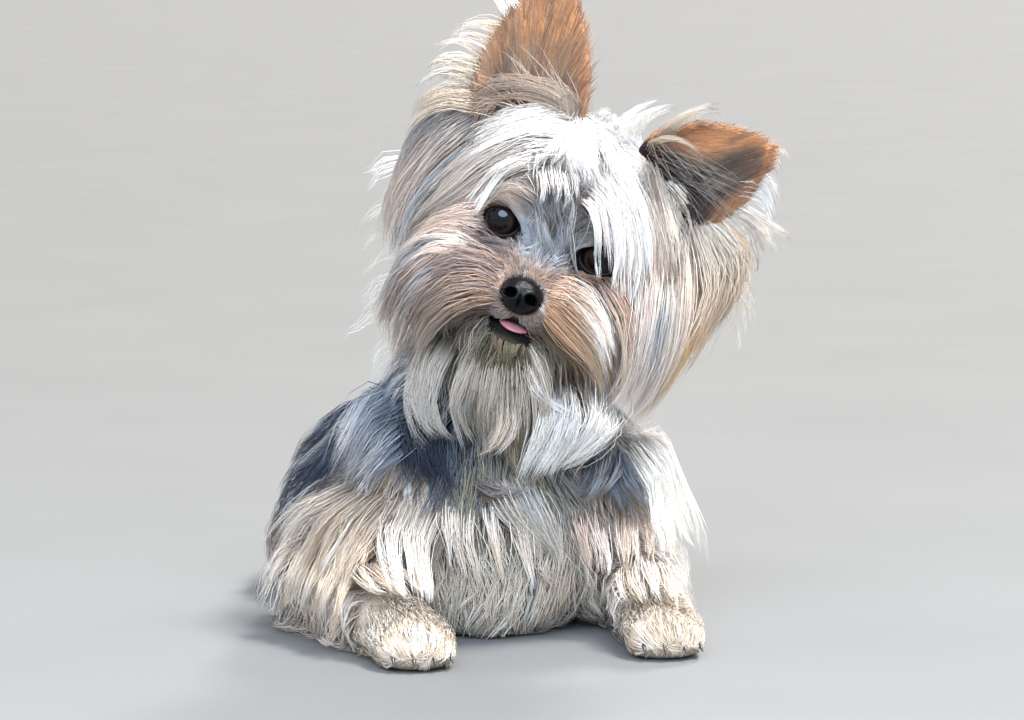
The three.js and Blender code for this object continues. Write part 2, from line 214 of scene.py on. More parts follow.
# ------------------------------------------------------------------ skin: flesh and bone under the hair
SKIN_HEAD = [
    oval([0, 2, 0], [33, 38, 29]),
    *both(lambda s: oval([s * 13, -25, 7], [12, 9, 7])),  # brow
    bone([0, -24, -16], [0, -52, -25], 17, 11.5),  # muzzle
    *both(lambda s: oval([s * 7.5, -50, -27.5], [9, 12, 8])),  # upper lips
    bone([0, -18, -34], [0, -45, -43.5], 13, 8),  # lower jaw
    oval([0.6, -51, -41.9], [10.2, 9.2, 3.4]),  # lower lip
    bone([22, 2, 10], [39, 4, 28], 13, 6.5),  # roots of the ears
    bone([-20, 3, 12], [-28, 5, 24], 12, 8),
    *both(lambda s: oval([s * 21, -4, -19], [16, 22, 20])),  # cheeks
    *both(lambda s: oval([s * EYE_AT[0], EYE_AT[1], EYE_AT[2]], [11.3, 10.4, 10.6])),  # lids
]
SKIN_BODY = {
    "trunk": [
        bone([2, 42, 50], [4, 92, 50], 44, 46, 0.94),
        bone([4, 92, 50], [22, 170, 44], 45, 36, 0.98),
        bone([2, 44, 84], [3, 72, 80], 26, 20),
        oval([3, 14, 46], [36, 26, 40]),
    ],
    "neck": [bone([2, 34, 80], SKULL_BASE, 33, 25)],
    "tail": [bone(TAIL_LINE[i], TAIL_LINE[i + 1], a, b) for i, (a, b) in enumerate([(9, 7), (7, 5), (5, 4), (4, 2.6)])],
}
CLAWS = []
for _s in (-1, 1):
    n = "right" if _s < 0 else "left"
    toes = []
    for dx, dy in ((-10.2, -62), (-3.6, -65.5), (3.6, -65.5), (10.2, -62)):
        c = [3 + _s * 52 + dx, dy, 7.4]
        toes.append(oval(c, [4.7, 8.5, 6.4]))
        CLAWS.append((c, dx))
    SKIN_BODY["foreleg_" + n] = [
        bone([3 + _s * 36, 18, 68], [3 + _s * 66, 46, 24], 20, 13),
        bone([3 + _s * 66, 46, 22], [3 + _s * 57, -24, 14], 13, 9.5),
    ]
    SKIN_BODY["forepaw_" + n] = [bone([3 + _s * 57, -24, 13], [3 + _s * 52, -56, 10.5], 9.5, 10.0), *toes]
    toes = []
    for dx, dy in ((-9.2, 104), (-3.2, 100.5), (3.2, 100.5), (9.2, 104)):
        c = [HIP + _s * 64 + dx, dy, 7.0]
        toes.append(oval(c, [4.4, 8.0, 6.0]))
        CLAWS.append((c, dx))
    SKIN_BODY["hindleg_" + n] = [
        bone([HIP + _s * 30, 160, 46], [HIP + _s * 55, 116, 32], 28, 18),
        bone([HIP + _s * 55, 116, 32], [HIP + _s * 60, 174, 20], 18, 10),
    ]
    SKIN_BODY["hindpaw_" + n] = [bone([HIP + _s * 61, 170, 12], [HIP + _s * 64, 112, 10], 9, 9), *toes]


def mouth_gap(x, y, z):
    """The slit between the lips, following the upper lip's droop at the sides."""
    line = -36.4 - 0.008 * x * x + 0.10 * (y + 60)
    slit = np.abs(z - line) - 1.2
    area = np.maximum((y + 38), np.abs(x - 1) - 16)
    return smax(slit, area * 0.7, 1.5)


def ranges(*runs):
    out = [runs[0][0]]
    for a, b, pitch in runs:
        n = max(1, round((b - a) / pitch))
        out += [a + (b - a) * i / n for i in range(1, n + 1)]
    return np.array(out, F32)


def fill(gx, gy, gz, forms, k, margin, start=None):
    """Smooth union of the forms on a grid. Each is worked out only within margin of its own box."""
    val = np.full((len(gx), len(gy), len(gz)), 60, F32) if start is None else start
    for (fn, lo, hi), kk in ((f, k) for f in forms):
        ix, iy, iz = (slice(*np.searchsorted(g, [l - margin, h + margin])) for g, l, h in zip((gx, gy, gz), lo, hi))
        if ix.stop <= ix.start or iy.stop <= iy.start or iz.stop <= iz.start:
            continue
        d = fn(gx[ix, None, None], gy[None, iy, None], gz[None, None, iz]).astype(F32)
        val[ix, iy, iz] = smin(val[ix, iy, iz], d, kk)
    return val


def carve(val, gx, gy, gz, form, k, margin=12):
    fn, lo, hi = form
    ix, iy, iz = (slice(*np.searchsorted(g, [l - margin, h + margin])) for g, l, h in zip((gx, gy, gz), lo, hi))
    d = fn(gx[ix, None, None], gy[None, iy, None], gz[None, None, iz]).astype(F32)
    val[ix, iy, iz] = smax(val[ix, iy, iz], -d, k)


def skin_field(gx, gy, gz, margin, fine=True):
    head = fill(gx, gy, gz, [in_head(f) for f in SKIN_HEAD], 7, margin)
    body = fill(gx, gy, gz, [f for fs in SKIN_BODY.values() for f in fs], 7, margin)
    if fine:
        head = fill(gx, gy, gz, [in_head(ear_form(s)) for s in EAR], 5, margin, head)
        for s in (-1, 1):
            carve(head, gx, gy, gz, in_head(oval([s * 21.2, -36, -3.9], [8.2, 10.5, 6.0])), 1.5)
        box = (mouth_gap, np.array([-18, -74, -44.0]), np.array([18, -36, -32.0]))
        carve(head, gx, gy, gz, in_head(box), 1.0)
        carve(head, gx, gy, gz, in_head(oval(NOSE_AT, [v - 1.2 for v in NOSE_R])), 1.0)
    return smin(head, body, 10)


def walk(val, gx, gy, gz):
    """A closed surface of quads where val crosses 0."""
    neg = val < 0
    nx, ny, nz = val.shape
    c = [neg[i : nx - 1 + i, j : ny - 1 + j, k : nz - 1 + k] for i in (0, 1) for j in (0, 1) for k in (0, 1)]
    count = sum(x.astype(np.int8) for x in c)
    I, J, K = np.nonzero((count > 0) & (count < 8))
    cell = np.full((nx - 1, ny - 1, nz - 1), -1, np.int32)
    cell[I, J, K] = np.arange(len(I))
    total, hits = np.zeros((len(I), 3)), np.zeros(len(I))
    corner = [(i, j, k) for i in (0, 1) for j in (0, 1) for k in (0, 1)]
    for a in range(8):
        for b in range(a + 1, 8):
            if sum(x != y for x, y in zip(corner[a], corner[b])) != 1:
                continue
            (ai, aj, ak), (bi, bj, bk) = corner[a], corner[b]
            va, vb = val[I + ai, J + aj, K + ak].astype(float), val[I + bi, J + bj, K + bk].astype(float)
            cross = (va < 0) != (vb < 0)
            t = np.where(cross, va / np.where(cross, va - vb, 1), 0)
            p = np.stack([
                gx[I + ai] * (1 - t) + gx[I + bi] * t, gy[J + aj] * (1 - t) + gy[J + bj] * t,
                gz[K + ak] * (1 - t) + gz[K + bk] * t], 1)
            total += p * cross[:, None]
            hits += cross
    verts = total / hits[:, None]
    quads = []
    for axis in range(3):
        a = neg[:-1] if axis == 0 else neg[:, :-1] if axis == 1 else neg[:, :, :-1]
        b = neg[1:] if axis == 0 else neg[:, 1:] if axis == 1 else neg[:, :, 1:]
        i, j, k = np.nonzero(a != b)
        o1, o2 = [(0, 1, 0), (0, 0, 1)] if axis == 0 else [(0, 0, 1), (1, 0, 0)] if axis == 1 else [(1, 0, 0), (0, 1, 0)]
        here = neg[i, j, k]
        q = np.stack([
            cell[i - o1[0] - o2[0], j - o1[1] - o2[1], k - o1[2] - o2[2]],
            cell[i - o2[0], j - o2[1], k - o2[2]],
            cell[i, j, k],
            cell[i - o1[0], j - o1[1], k - o1[2]]], 1)
        q[~here] = q[~here][:, ::-1]
        quads.append(q)
    return verts, np.concatenate(quads)


class Grid:
    """Values on an even grid, read anywhere by trilinear mixing."""

    def __init__(self, lo, pitch, *fields):
        self.lo, self.pitch = np.array(lo, F32), pitch
        self.f = np.stack(fields, -1).astype(F32)
        self.n = np.array(self.f.shape[:3])

    def at(self, p):
        q = np.clip((p - self.lo) / self.pitch, 0, self.n - 1.001)
        i = q.astype(np.int32)
        f = (q - i).astype(F32)
        out = 0
        for a in (0, 1):
            for b in (0, 1):
                for c in (0, 1):
                    w = np.abs(1 - a - f[:, 0]) * np.abs(1 - b - f[:, 1]) * np.abs(1 - c - f[:, 2])
                    out = out + w[:, None] * self.f[i[:, 0] + a, i[:, 1] + b, i[:, 2] + c]
        return out


# ------------------------------------------------------------------ make the skin surface
gx = ranges([-108, -36, 3.2], [-36, 104, 1.15], [104, 124, 3.0])
gy = ranges([-86, -74, 1.6], [-74, 30, 1.15], [30, 274, 3.4])
gz = ranges([-3, 100, 3.0], [100, 284, 1.15], [284, 290, 3])
skin_val = skin_field(gx, gy, gz, 9)
skin_v, skin_q = walk(skin_val, gx, gy, gz)
del skin_val


def keep_largest(v, q):
    """Drops loose specks: keeps the piece of surface with the most vertices."""
    label = np.arange(len(v))
    for _ in range(400):
        low = label[q].min(1)
        new = label.copy()
        for c in range(4):
            np.minimum.at(new, q[:, c], low)
        new = new[new]
        if (new == label).all():
            break
        label = new
    names, n = np.unique(label[q[:, 0]], return_counts=True)
    q = q[label[q[:, 0]] == names[n.argmax()]]
    used, q = np.unique(q, return_inverse=True)
    return v[used], q.reshape(-1, 4)


skin_v, skin_q = keep_largest(skin_v, skin_q)


def smooth(v, q, times, share=0.5):
    for _ in range(times):
        total, n = np.zeros_like(v), np.zeros(len(v))
        for a in range(4):
            b = (a + 1) % 4
            for i, j in ((a, b), (b, a)):
                np.add.at(total, q[:, i], v[q[:, j]])
                np.add.at(n, q[:, i], 1)
        v = v * (1 - share) + share * total / n[:, None]
    return v


skin_v = smooth(skin_v, skin_q, 1, 0.45)
skin_v[:, 2] = np.maximum(skin_v[:, 2], 0.15)


def quad_facts(v, q):
    a, b, c, d = (v[q[:, i]] for i in range(4))
    n = np.cross(c - a, d - b)
    area = np.linalg.norm(n, axis=1) / 2
    return (a + b + c + d) / 4, n / np.maximum(2 * area, 1e-9)[:, None], area


face_c, face_n, face_a = quad_facts(skin_v, skin_q)
vert_n = np.zeros_like(skin_v)
for _i in range(4):
    np.add.at(vert_n, skin_q[:, _i], face_n * face_a[:, None])
vert_n = unit(vert_n)

# growth fields: how deep in the coat a place is, 0 on the skin and 1 at the tips
PITCH_G = 3.0
hx, hy, hz = (np.arange(a, b, PITCH_G, dtype=F32) for a, b in ((-116, 130), (-96, 284), (-9, 294)))
g_skin = skin_field(hx, hy, hz, 70, fine=False)
coat_head = fill(hx, hy, hz, [in_head(f) for f in COAT_HEAD], 13, 60)
for _s in (-1, 1):
    carve(coat_head, hx, hy, hz, in_head(oval([_s * 20.5, -39, -4], [9.5, 12, 7.5])), 5)
carve(coat_head, hx, hy, hz, in_head(oval([-1, -66, -40], [15, 15, 4.5])), 3)
coat_body = fill(hx, hy, hz, COAT_BODY, 14, 60)
coat_tail = fill(hx, hy, hz, COAT_TAIL, 10, 60)
g_coat = np.minimum(np.minimum(coat_head, coat_body), coat_tail)
depth = np.clip(g_skin / np.maximum(g_skin - g_coat, 2.0), -1, 2)
gg = np.gradient(depth, PITCH_G)
GROW = Grid([hx[0], hy[0], hz[0]], PITCH_G, depth, gg[0], gg[1], gg[2], g_skin, g_coat)
del coat_head, coat_body, coat_tail


def bump(x, a, b, soft):
    """1 between a and b, falling to 0 over soft outside them."""
    return np.clip((x - a) / soft + 1, 0, 1) * np.clip((b - x) / soft + 1, 0, 1)


def ramp(x, a, b):
    t = np.clip((x - a) / (b - a), 0, 1)
    return t * t * (3 - 2 * t)


def noise3(p, size, seed):
    """Smooth value noise in 0..1."""
    g = np.random.default_rng(seed).random((32, 32, 32)).astype(F32)
    q = p / size
    i = np.floor(q).astype(int)
    f = q - i
    f = f * f * (3 - 2 * f)
    out = 0
    for a in (0, 1):
        for b in (0, 1):
            for c in (0, 1):
                w = np.abs(1 - a - f[:, 0]) * np.abs(1 - b - f[:, 1]) * np.abs(1 - c - f[:, 2])
                out = out + w * g[(i[:, 0] + a) % 32, (i[:, 1] + b) % 32, (i[:, 2] + c) % 32]
    return out


# ------------------------------------------------------------------ parts of the skin
def near(forms, p):
    d = None
    for fn, _, _ in forms:
        e = fn(p[:, 0], p[:, 1], p[:, 2])
        d = e if d is None else np.minimum(d, e)
    return d


PARTS = {"head": [in_head(f) for f in SKIN_HEAD], **SKIN_BODY}
for _side in EAR:
    PARTS["ear_" + _side] = [in_head(ear_form(_side))]
part_names = list(PARTS)
part_of = np.stack([near(PARTS[n], face_c) for n in part_names], 1).argmin(1)


# ------------------------------------------------------------------ the skin's unwrap: each part, seen square on from six sides
AXES = [((1, 2), 0, 1), ((1, 2), 0, -1), ((0, 2), 1, 1), ((0, 2), 1, -1), ((0, 1), 2, 1), ((0, 1), 2, -1)]
local_c = face_c.copy()
local_n = face_n.copy()
turned_parts = [i for i, n in enumerate(part_names) if n == "head" or n.startswith("ear")]
in_turned = np.isin(part_of, turned_parts)
local_c[in_turned] = to_head(face_c[in_turned])
local_n[in_turned] = face_n[in_turned] @ HEAD_R
side_of = np.stack([local_n[:, a] * s for (_, a, s) in AXES], 1).argmax(1)
chart_of = part_of * 6 + side_of
chart_at, chart_lo = {}, {}
sizes = []
for ch in np.unique(chart_of):
    m = chart_of == ch
    ab = AXES[ch % 6][0]
    pts = local_c[m][:, ab]
    lo, hi = pts.min(0) - 3, pts.max(0) + 3
    chart_lo[ch] = lo
    sizes.append((ch, *(hi - lo)))
sizes.sort(key=lambda s: -s[2])


def pack(scale):
    x = y = row = 0.0
    at = {}
    for ch, w, h in sizes:
        w, h = w * scale, h * scale
        if x + w > 1:
            x, y, row = 0.0, y + row, 0.0
        at[ch] = (x, y)
        x += w
        row = max(row, h)
    return y + row <= 1, at


UV_SCALE = 0.01
while not pack(UV_SCALE)[0]:
    UV_SCALE *= 0.985
chart_at = pack(UV_SCALE)[1]


def unwrap(face, p):
    """Each point's place on the skin's unwrap, by the face it belongs to."""
    q = np.where(in_turned[face][:, None], to_head(p), p)
    out = np.zeros((len(p), 2))
    ch = chart_of[face]
    for c in np.unique(ch):
        m = ch == c
        out[m] = (q[m][:, AXES[c % 6][0]] - chart_lo[c]) * UV_SCALE + chart_at[c]
    return out


# ------------------------------------------------------------------ colours
def srgb(*c):
    c = np.array(c, float) / 255
    return np.where(c <= 0.04045, c / 12.92, ((c + 0.055) / 1.055) ** 2.4)


WHITE = srgb(254, 250, 246)
BLUE_WHITE = srgb(208, 217, 236)
LILAC = srgb(229, 214, 205)
CREAM = srgb(241, 223, 202)
PALE_TAN = srgb(224, 198, 170)
TAN = srgb(198, 154, 118)
GOLD = srgb(206, 168, 114)
ORANGE_TAN = srgb(196, 136, 90)
ROSE_TAN = srgb(210, 178, 162)
ROSE_BROWN = srgb(178, 134, 118)
BROWN = srgb(134, 104, 84)
DARK_BROWN = srgb(66, 52, 48)
OLIVE_TAN = srgb(186, 174, 138)
DARK_OLIVE = srgb(92, 88, 68)
SILVER = srgb(196, 192, 189)
BLUE_GREY = srgb(122, 132, 148)
STEEL = srgb(70, 82, 102)
NIGHT = srgb(38, 43, 55)
SLATE = srgb(98, 102, 108)
EAR_TAN = srgb(212, 148, 100)
EAR_DARK = srgb(74, 56, 56)


def mix(a, b, t):
    t = np.asarray(t, float)
    return a * (1 - t[..., None]) + b * t[..., None]


def pick(choices, weights, r):
    """One colour for each strand, drawn by the weights, blended a little into its neighbour in the list."""
    w = np.stack([np.broadcast_to(x, r.shape) for x in weights], 1).astype(float)
    w /= np.maximum(w.sum(1, keepdims=True), 1e-9)
    c = np.cumsum(w, 1)
    k = (c < r[:, None]).sum(1).clip(0, len(choices) - 1)
    lo = np.where(k > 0, c[np.arange(len(r)), np.maximum(k - 1, 0)], 0)
    share = ((r - lo) / np.maximum(w[np.arange(len(r)), k], 1e-6)).clip(0, 1)
    k2 = np.minimum(k + 1, len(choices) - 1)
    ch = np.array(choices)
    return ch[k] * (1 - 0.5 * share[:, None]) + ch[k2] * (0.5 * share[:, None])


class Paint:
    """Root and tip colours that regions are painted over, one after another."""

    def __init__(self, root, tip):
        self.root, self.tip = np.array(root, float), np.array(tip, float)

    def put(self, weight, root, tip):
        weight = np.broadcast_to(weight, (len(self.root),))
        self.root, self.tip = mix(self.root, root, weight), mix(self.tip, tip, weight)


def head_colour(h, r):
    """Colour at the root and at the tip of hair from a place on the head, given in the head's frame."""
    x, y, z = h.T
    o = 0 * x
    c = pick([WHITE, LILAC, CREAM], [0.78, 0.12, 0.10], r)  # crown
    p = Paint(mix(c, LILAC, 0.15 + o), mix(c, WHITE, 0.5 + o))
    # over the right temple: greyer and darker, painted shade
    c = pick([LILAC, SILVER, ROSE_TAN], [0.5, 0.3, 0.2], r) * 0.72
    p.put(ramp(-x, 28, 44) * (1 - ramp(z, 32, 44)), c, c)
    # further out on the dog's left: cream with warm streaks
    c = pick([WHITE, CREAM, PALE_TAN, TAN], [0.5, 0.3, 0.12, 0.08], r)
    p.put(ramp(x, 26, 42), c, mix(c, CREAM, 0.3 + o))
    # behind the ears and down the nape: steel blue
    c = pick([STEEL, BLUE_GREY, SILVER], [0.45, 0.4, 0.15], r)
    p.put(ramp(y, 14, 30), c, mix(c, BLUE_GREY, 0.3 + o))
    # cheeks: cool cream and grey on the right, rose, gold and slate streaks on the left
    cheek = ramp(np.abs(x), 18, 28) * ramp(-z, -10, 6) * (1 - ramp(y, 14, 28))
    lt = pick([ROSE_TAN, CREAM, WHITE, PALE_TAN, GOLD, ORANGE_TAN, SLATE], [0.18, 0.26, 0.2, 0.12, 0.12, 0.06, 0.06], r)
    rt = pick([LILAC, SILVER, CREAM, ROSE_TAN, WHITE, BLUE_GREY], [0.28, 0.2, 0.2, 0.14, 0.1, 0.08], r)
    c = np.where((x > 0)[:, None], lt, rt)
    p.put(cheek, mix(c, ROSE_TAN, 0.12 + o), mix(c, LILAC, 0.15 + o))
    # brow
    brow = bump(np.abs(x), 10, 28, 4) * bump(z, 2, 11, 4) * ramp(-y, 16, 24)
    p.put(brow * 0.9, pick([BROWN, TAN, ROSE_TAN], [0.3, 0.4, 0.3], r), pick([TAN, ROSE_TAN, PALE_TAN], [0.3, 0.4, 0.3], r))
    # between the eyes
    mid_ = bump(x + 0.25 * z, -5, 8, 6) * bump(z, 0, 11, 7) * ramp(-y, 22, 28)
    p.put(mid_, pick([SLATE, DARK_OLIVE, BROWN], [0.5, 0.3, 0.2], r), pick([SLATE, DARK_OLIVE, BLUE_GREY, BROWN], [0.4, 0.2, 0.2, 0.2], r))
    # bridge of the nose
    bridge = ramp(-y, 30, 38) * (1 - ramp(np.abs(x), 9, 14)) * ramp(z, -27, -18) * (1 - ramp(z, -7, 0))
    c = mix(pick([SILVER, BLUE_GREY, SLATE], [0.4, 0.35, 0.25], r), pick([ROSE_TAN, BROWN, TAN, SLATE, LILAC], [0.25, 0.22, 0.13, 0.25, 0.15], r) * 0.62, ramp(-z, 9, 15))
    p.put(bridge, mix(c, BROWN, 0.3 + o), mix(c, BLUE_WHITE + 0 * c, 0.3 * (1 - ramp(-z, 9, 15))))
    # sides of the muzzle; the right side's darker palette is partly painted shade near the corner of the mouth
    side = ramp(-y, 22, 34) * ramp(np.abs(x), 7, 11) * ramp(-z, 4, 12)
    rt = pick([ROSE_BROWN, ROSE_TAN, SLATE, BROWN, TAN, LILAC], [0.26, 0.22, 0.16, 0.1, 0.16, 0.1], r)
    lt = pick([TAN, ORANGE_TAN, BROWN, ROSE_BROWN, ROSE_TAN], [0.32, 0.2, 0.1, 0.2, 0.18], r)
    c = np.where((x > 0)[:, None], lt, rt)
    p.put(side, mix(c, BROWN, 0.3 + o), mix(c, ROSE_TAN, np.where(x > 0, 0.25, 0.2)))
    # short dark hair between the nose and the mouth, and close round the eyes
    lip = ramp(-y, 46, 52) * (1 - ramp(np.abs(x + 0.5), 12, 18)) * bump(z, -38, -27, 2)
    c = pick([BROWN, SLATE, ROSE_BROWN], [0.4, 0.3, 0.3], r)
    p.put(lip * 0.9, c * 0.7, mix(c, ROSE_TAN, 0.3 + o) * 0.75)
    ring = (1 - ramp(np.sqrt(((np.abs(x) - 21) / 1.2) ** 2 + (z + 4) ** 2), 8, 11)) * ramp(-y, 20, 26)
    c = pick([DARK_BROWN, BROWN, SLATE], [0.45, 0.35, 0.2], r)
    p.put(ring * 0.7, c, mix(c, BROWN, 0.5 + o))
    # chin and throat
    jaw = ramp(-z, 33, 38) * ramp(-y, -30, 0)
    c = pick([OLIVE_TAN, CREAM, SILVER, LILAC, BLUE_GREY], [0.24, 0.26, 0.2, 0.16, 0.14], r)
    p.put(jaw, mix(c, DARK_OLIVE, 0.2 + o), mix(c, CREAM, 0.2 + o))
    # under the lip the chin is darker still: partly its own olive hair, partly painted shade under the mouth
    chin = jaw * ramp(-y, 40, 48) * (1 - ramp(-z, 45, 52))
    c = pick([DARK_OLIVE, OLIVE_TAN, BROWN], [0.45, 0.4, 0.15], r)
    p.put(chin, c * 0.75, mix(c, OLIVE_TAN, 0.4 + o) * 0.7)
    return p.root, p.tip


def body_colour(q, part, r):
    x, y, z = q.T
    o = 0 * x
    c = pick([NIGHT, STEEL, BLUE_GREY, SILVER], [0.42, 0.40, 0.15, 0.03], r)
    p = Paint(mix(c, NIGHT, 0.5 + o), mix(c, NIGHT, 0.2 + o))
    # shoulders and the sides of the neck: blue-grey with silver
    c = pick([STEEL, BLUE_GREY, SILVER, LILAC], [0.3, 0.36, 0.24, 0.1], r)
    p.put((1 - ramp(y, 20, 44)) * (1 - 0.7 * ramp(-x, 52, 66)), c, mix(c, SILVER, 0.1 + o))
    # breast and arms: cream and white, warmer low down in the middle
    c = pick([WHITE, CREAM, LILAC, PALE_TAN, ROSE_TAN], [0.36, 0.36, 0.08, 0.14, 0.06], r)
    low = pick([CREAM, PALE_TAN, ROSE_TAN, BLUE_GREY, WHITE], [0.34, 0.16, 0.14, 0.06, 0.3], r)
    warm = mix(c, low, (1 - ramp(z, 30, 60)) * (1 - ramp(np.abs(x - 10), 25, 45)))
    pale = mix(warm, WHITE, 0.35 + o)
    breast = (1 - ramp(y, -2, 22)) * (1 - ramp(z, 74, 92))
    p.put(breast, warm, pale)
    p.put((1 - ramp(y, 10, 34)) * (1 - ramp(np.abs(x - 16), 14, 24)), warm, pale)
    # under the beard, in its shade: greyer
    c = pick([SLATE, OLIVE_TAN, BLUE_GREY, SILVER], [0.38, 0.22, 0.25, 0.15], r)
    p.put((1 - ramp(y, 0, 20)) * ramp(z, 52, 72) * (1 - ramp(np.abs(x - 12), 30, 46)) * 0.9, mix(c, SLATE, 0.3 + o) * 0.7, c * 0.75)
    # a dark blue patch beside the beard, and streaks over the left shoulder
    d = np.sqrt((x + 27) ** 2 + ((z - 96) * 0.8) ** 2)
    c = pick([STEEL, NIGHT, BLUE_GREY], [0.5, 0.25, 0.25], r)
    p.put((1 - ramp(d, 12, 24)) * (1 - ramp(y, 6, 22)), c, mix(c, BLUE_GREY, 0.2 + o))
    d = np.sqrt(((x - 46) * 0.9) ** 2 + ((z - 84) * 0.8) ** 2)
    c = pick([STEEL, BLUE_GREY, SILVER], [0.4, 0.35, 0.25], r)
    p.put((1 - ramp(d, 8, 22)) * (1 - ramp(y, 10, 30)) * 0.8, c, mix(c, SILVER, 0.3 + o))
    for i, name in enumerate(part_names):
        m = part == i
        if name.startswith("foreleg"):
            p.put(m * (1 - ramp(z, 56, 78)) * (1 - 0.55 * ramp(y, 34, 56)), warm, pale)
        elif "paw" in name:
            c2 = pick([WHITE, CREAM, PALE_TAN], [0.35, 0.45, 0.2], r)
            p.put(m * 1.0, mix(c2, CREAM, 0.3 + o), mix(c2, WHITE, 0.2 + o))
        elif name.startswith("hindleg"):
            c2 = pick([PALE_TAN, TAN, CREAM, BLUE_GREY], [0.35, 0.3, 0.2, 0.15], r)
            p.put(m * (1 - ramp(z, 12, 50)), c2, mix(c2, CREAM, 0.3 + o))
    return p.root, p.tip


# ------------------------------------------------------------------ growing hair
GRAVITY = np.array([0, 0, -1.0])
strands = []  # groups of grown strands, ready to mesh


def choose(weight, n):
    """n roots on the skin, drawn by weight for each face times its area."""
    w = weight * face_a
    w = w / w.sum()
    f = np.sort(rng.choice(len(w), n, p=w))
    a, b, c, d = (skin_v[skin_q[f, i]] for i in range(4))
    s, t = rng.random((2, n, 1))
    p = (a * (1 - s) + b * s) * (1 - t) + (d * (1 - s) + c * s) * t
    na, nb, nc, nd = (vert_n[skin_q[f, i]] for i in range(4))
    return f, p, unit((na * (1 - s) + nb * s) * (1 - t) + (nd * (1 - s) + nc * s) * t)


def grow(p0, n0, comb, length, steps, level, lift=0.5, gravity=0.1, stiff=1.0, rise=0.35, follow=1.0, free=False, sub=2):
    """Paths from roots p0 that start along comb, lift off the skin, and settle at their own depth in the coat."""
    n = len(p0)
    col = lambda v: np.broadcast_to(np.asarray(v, float).reshape(-1, 1) if np.ndim(v) else v, (n, 1))
    level, lift, gravity, length = col(level), col(lift), col(gravity), col(length)
    follow = col(follow)
    t_comb = comb - n0 * np.sum(comb * n0, 1, keepdims=True)
    v = unit(unit(t_comb) + n0 * lift)
    pts = np.empty((steps + 1, n, 3))
    pts[0] = p0 - n0 * 0.9
    p = p0.copy()
    ds = length / (steps * sub)
    for i in range(1, steps + 1):
        for j in range(sub):
            t = ((i - 1) * sub + j + 1) / (steps * sub)
            v = unit(v * stiff + GRAVITY * gravity)
            if free:
                p = p + v * ds
            else:
                g = GROW.at(p)
                f, grad = g[:, :1], g[:, 1:4]
                size = np.maximum(np.linalg.norm(grad, axis=1, keepdims=True), 0.012)
                nn = grad / size
                want = level * min(1.0, (t / rise)) ** 0.8
                off = (want - f) / size  # mm to the wanted depth
                push = np.clip(off * 0.5, -ds * 0.9, ds * 0.7)
                vn = np.sum(v * nn, 1, keepdims=True)
                tang = v - nn * vn * follow
                hanging = 1 - follow
                push = np.where((push > 0) & (f > 0.12), push * (1 - hanging * 0.9), push)
                v = unit(tang * ds + nn * push)
                p = p + v * ds
            low = p[:, 2] < 0.7
            if low.any():
                p[low, 2] = 0.7
                v[low, 2] = np.maximum(v[low, 2], 0)
                v = unit(v)
        pts[i] = p
    return pts


def until_outside(pts, slack=1.5):
    """The share of each strand that stays within the coat's outline."""
    s = len(pts)
    out = np.stack([GROW.at(p)[:, 5] > slack for p in pts])
    first = np.where(out.any(0), out.argmax(0), s)
    return np.clip(first / (s - 1), 0.3, 1.0)


def clump(pts, every, pull, power=1.2, keep=(0.30, 0.06), least=0.75):
    """Gathers strands into locks that run together towards their tips."""
    s, n, _ = pts.shape
    k = max(2, n // every)
    guides = rng.choice(n, k, replace=False)
    tree = KDTree(k)
    for i, g in enumerate(guides):
        tree.insert(Vector(pts[1, g]), i)
    tree.balance()
    mine = np.array([tree.find(Vector(q))[1] for q in pts[1]])
    g = guides[mine]
    t = (np.arange(s) / (s - 1))[:, None, None]
    amount = pull * t**power * rng.uniform(least, 1.0, (1, n, 1))
    held = (pts[1] - pts[1, g])[None] * (keep[0] + (keep[1] - keep[0]) * t)
    return pts * (1 - amount) + (pts[:, g] + held) * amount, mine


def wave(pts, mine, size, length, own=0.25):
    """Waves shared by each lock, plus a little of each strand's own, across the strand and a little in and out."""
    s, n, _ = pts.shape
    k = mine.max() + 1
    seg = np.linalg.norm(np.diff(pts, axis=0), axis=2)
    arc = np.concatenate([np.zeros((1, n)), np.cumsum(seg, 0)])
    tang = unit(np.gradient(pts, axis=0))
    up = GROW.at(pts.reshape(-1, 3))[:, 1:4].reshape(s, n, 3)
    up = unit(up - tang * np.sum(up * tang, 2, keepdims=True) + 1e-6)
    across = np.cross(tang, up)
    phase = rng.uniform(0, 2 * np.pi, k)[mine]
    wl = rng.uniform(0.8, 1.25, k)[mine] * length
    amp = rng.uniform(0.4, 1.2, k)[mine] * size
    t = (np.arange(s) / (s - 1))[:, None]
    a = amp * t**0.9 * np.sin(2 * np.pi * arc / wl + phase)
    o = own * size * t * np.sin(2 * np.pi * arc / (wl * 0.6) + rng.uniform(0, 6.28, n))
    return pts + across * (a + o)[:, :, None] + up * (0.35 * (a - o))[:, :, None]


def tidy(pts, slack=1.5, floor=0.5):
    """Pulls points back under the coat's outline and above skin and floor."""
    s, n, _ = pts.shape
    for _ in range(2):
        g = GROW.at(pts[1:].reshape(-1, 3))
        grad = unit(g[:, 1:4])
        over = np.maximum(g[:, 5] - slack, 0)[:, None]
        under = np.maximum(0.7 - g[:, 4], 0)[:, None]
        pts[1:] = (pts[1:].reshape(-1, 3) - grad * over + grad * under).reshape(s - 1, n, 3)
    pts[1:, :, 2] = np.maximum(pts[1:, :, 2], floor)
    return pts


def thicken(pts, every=4):
    """Points along each strand's pieces, so thin places to keep clear are not stepped over."""
    out = [pts[0:1] * 0 + pts[1:2]]
    for i in range(1, len(pts) - 1):
        for k in range(1, every + 1):
            out.append((pts[i] + (pts[i + 1] - pts[i]) * (k / every))[None])
    return np.concatenate(out)


def clear_of(h, centre, radii, chance=1.0):
    """Which strands, in the head's frame, stay clear of an oval."""
    inside = (((h - np.array(centre)) / np.array(radii)) ** 2).sum(2) < 1
    return ~inside.any(0) | (rng.random(h.shape[1]) > chance)


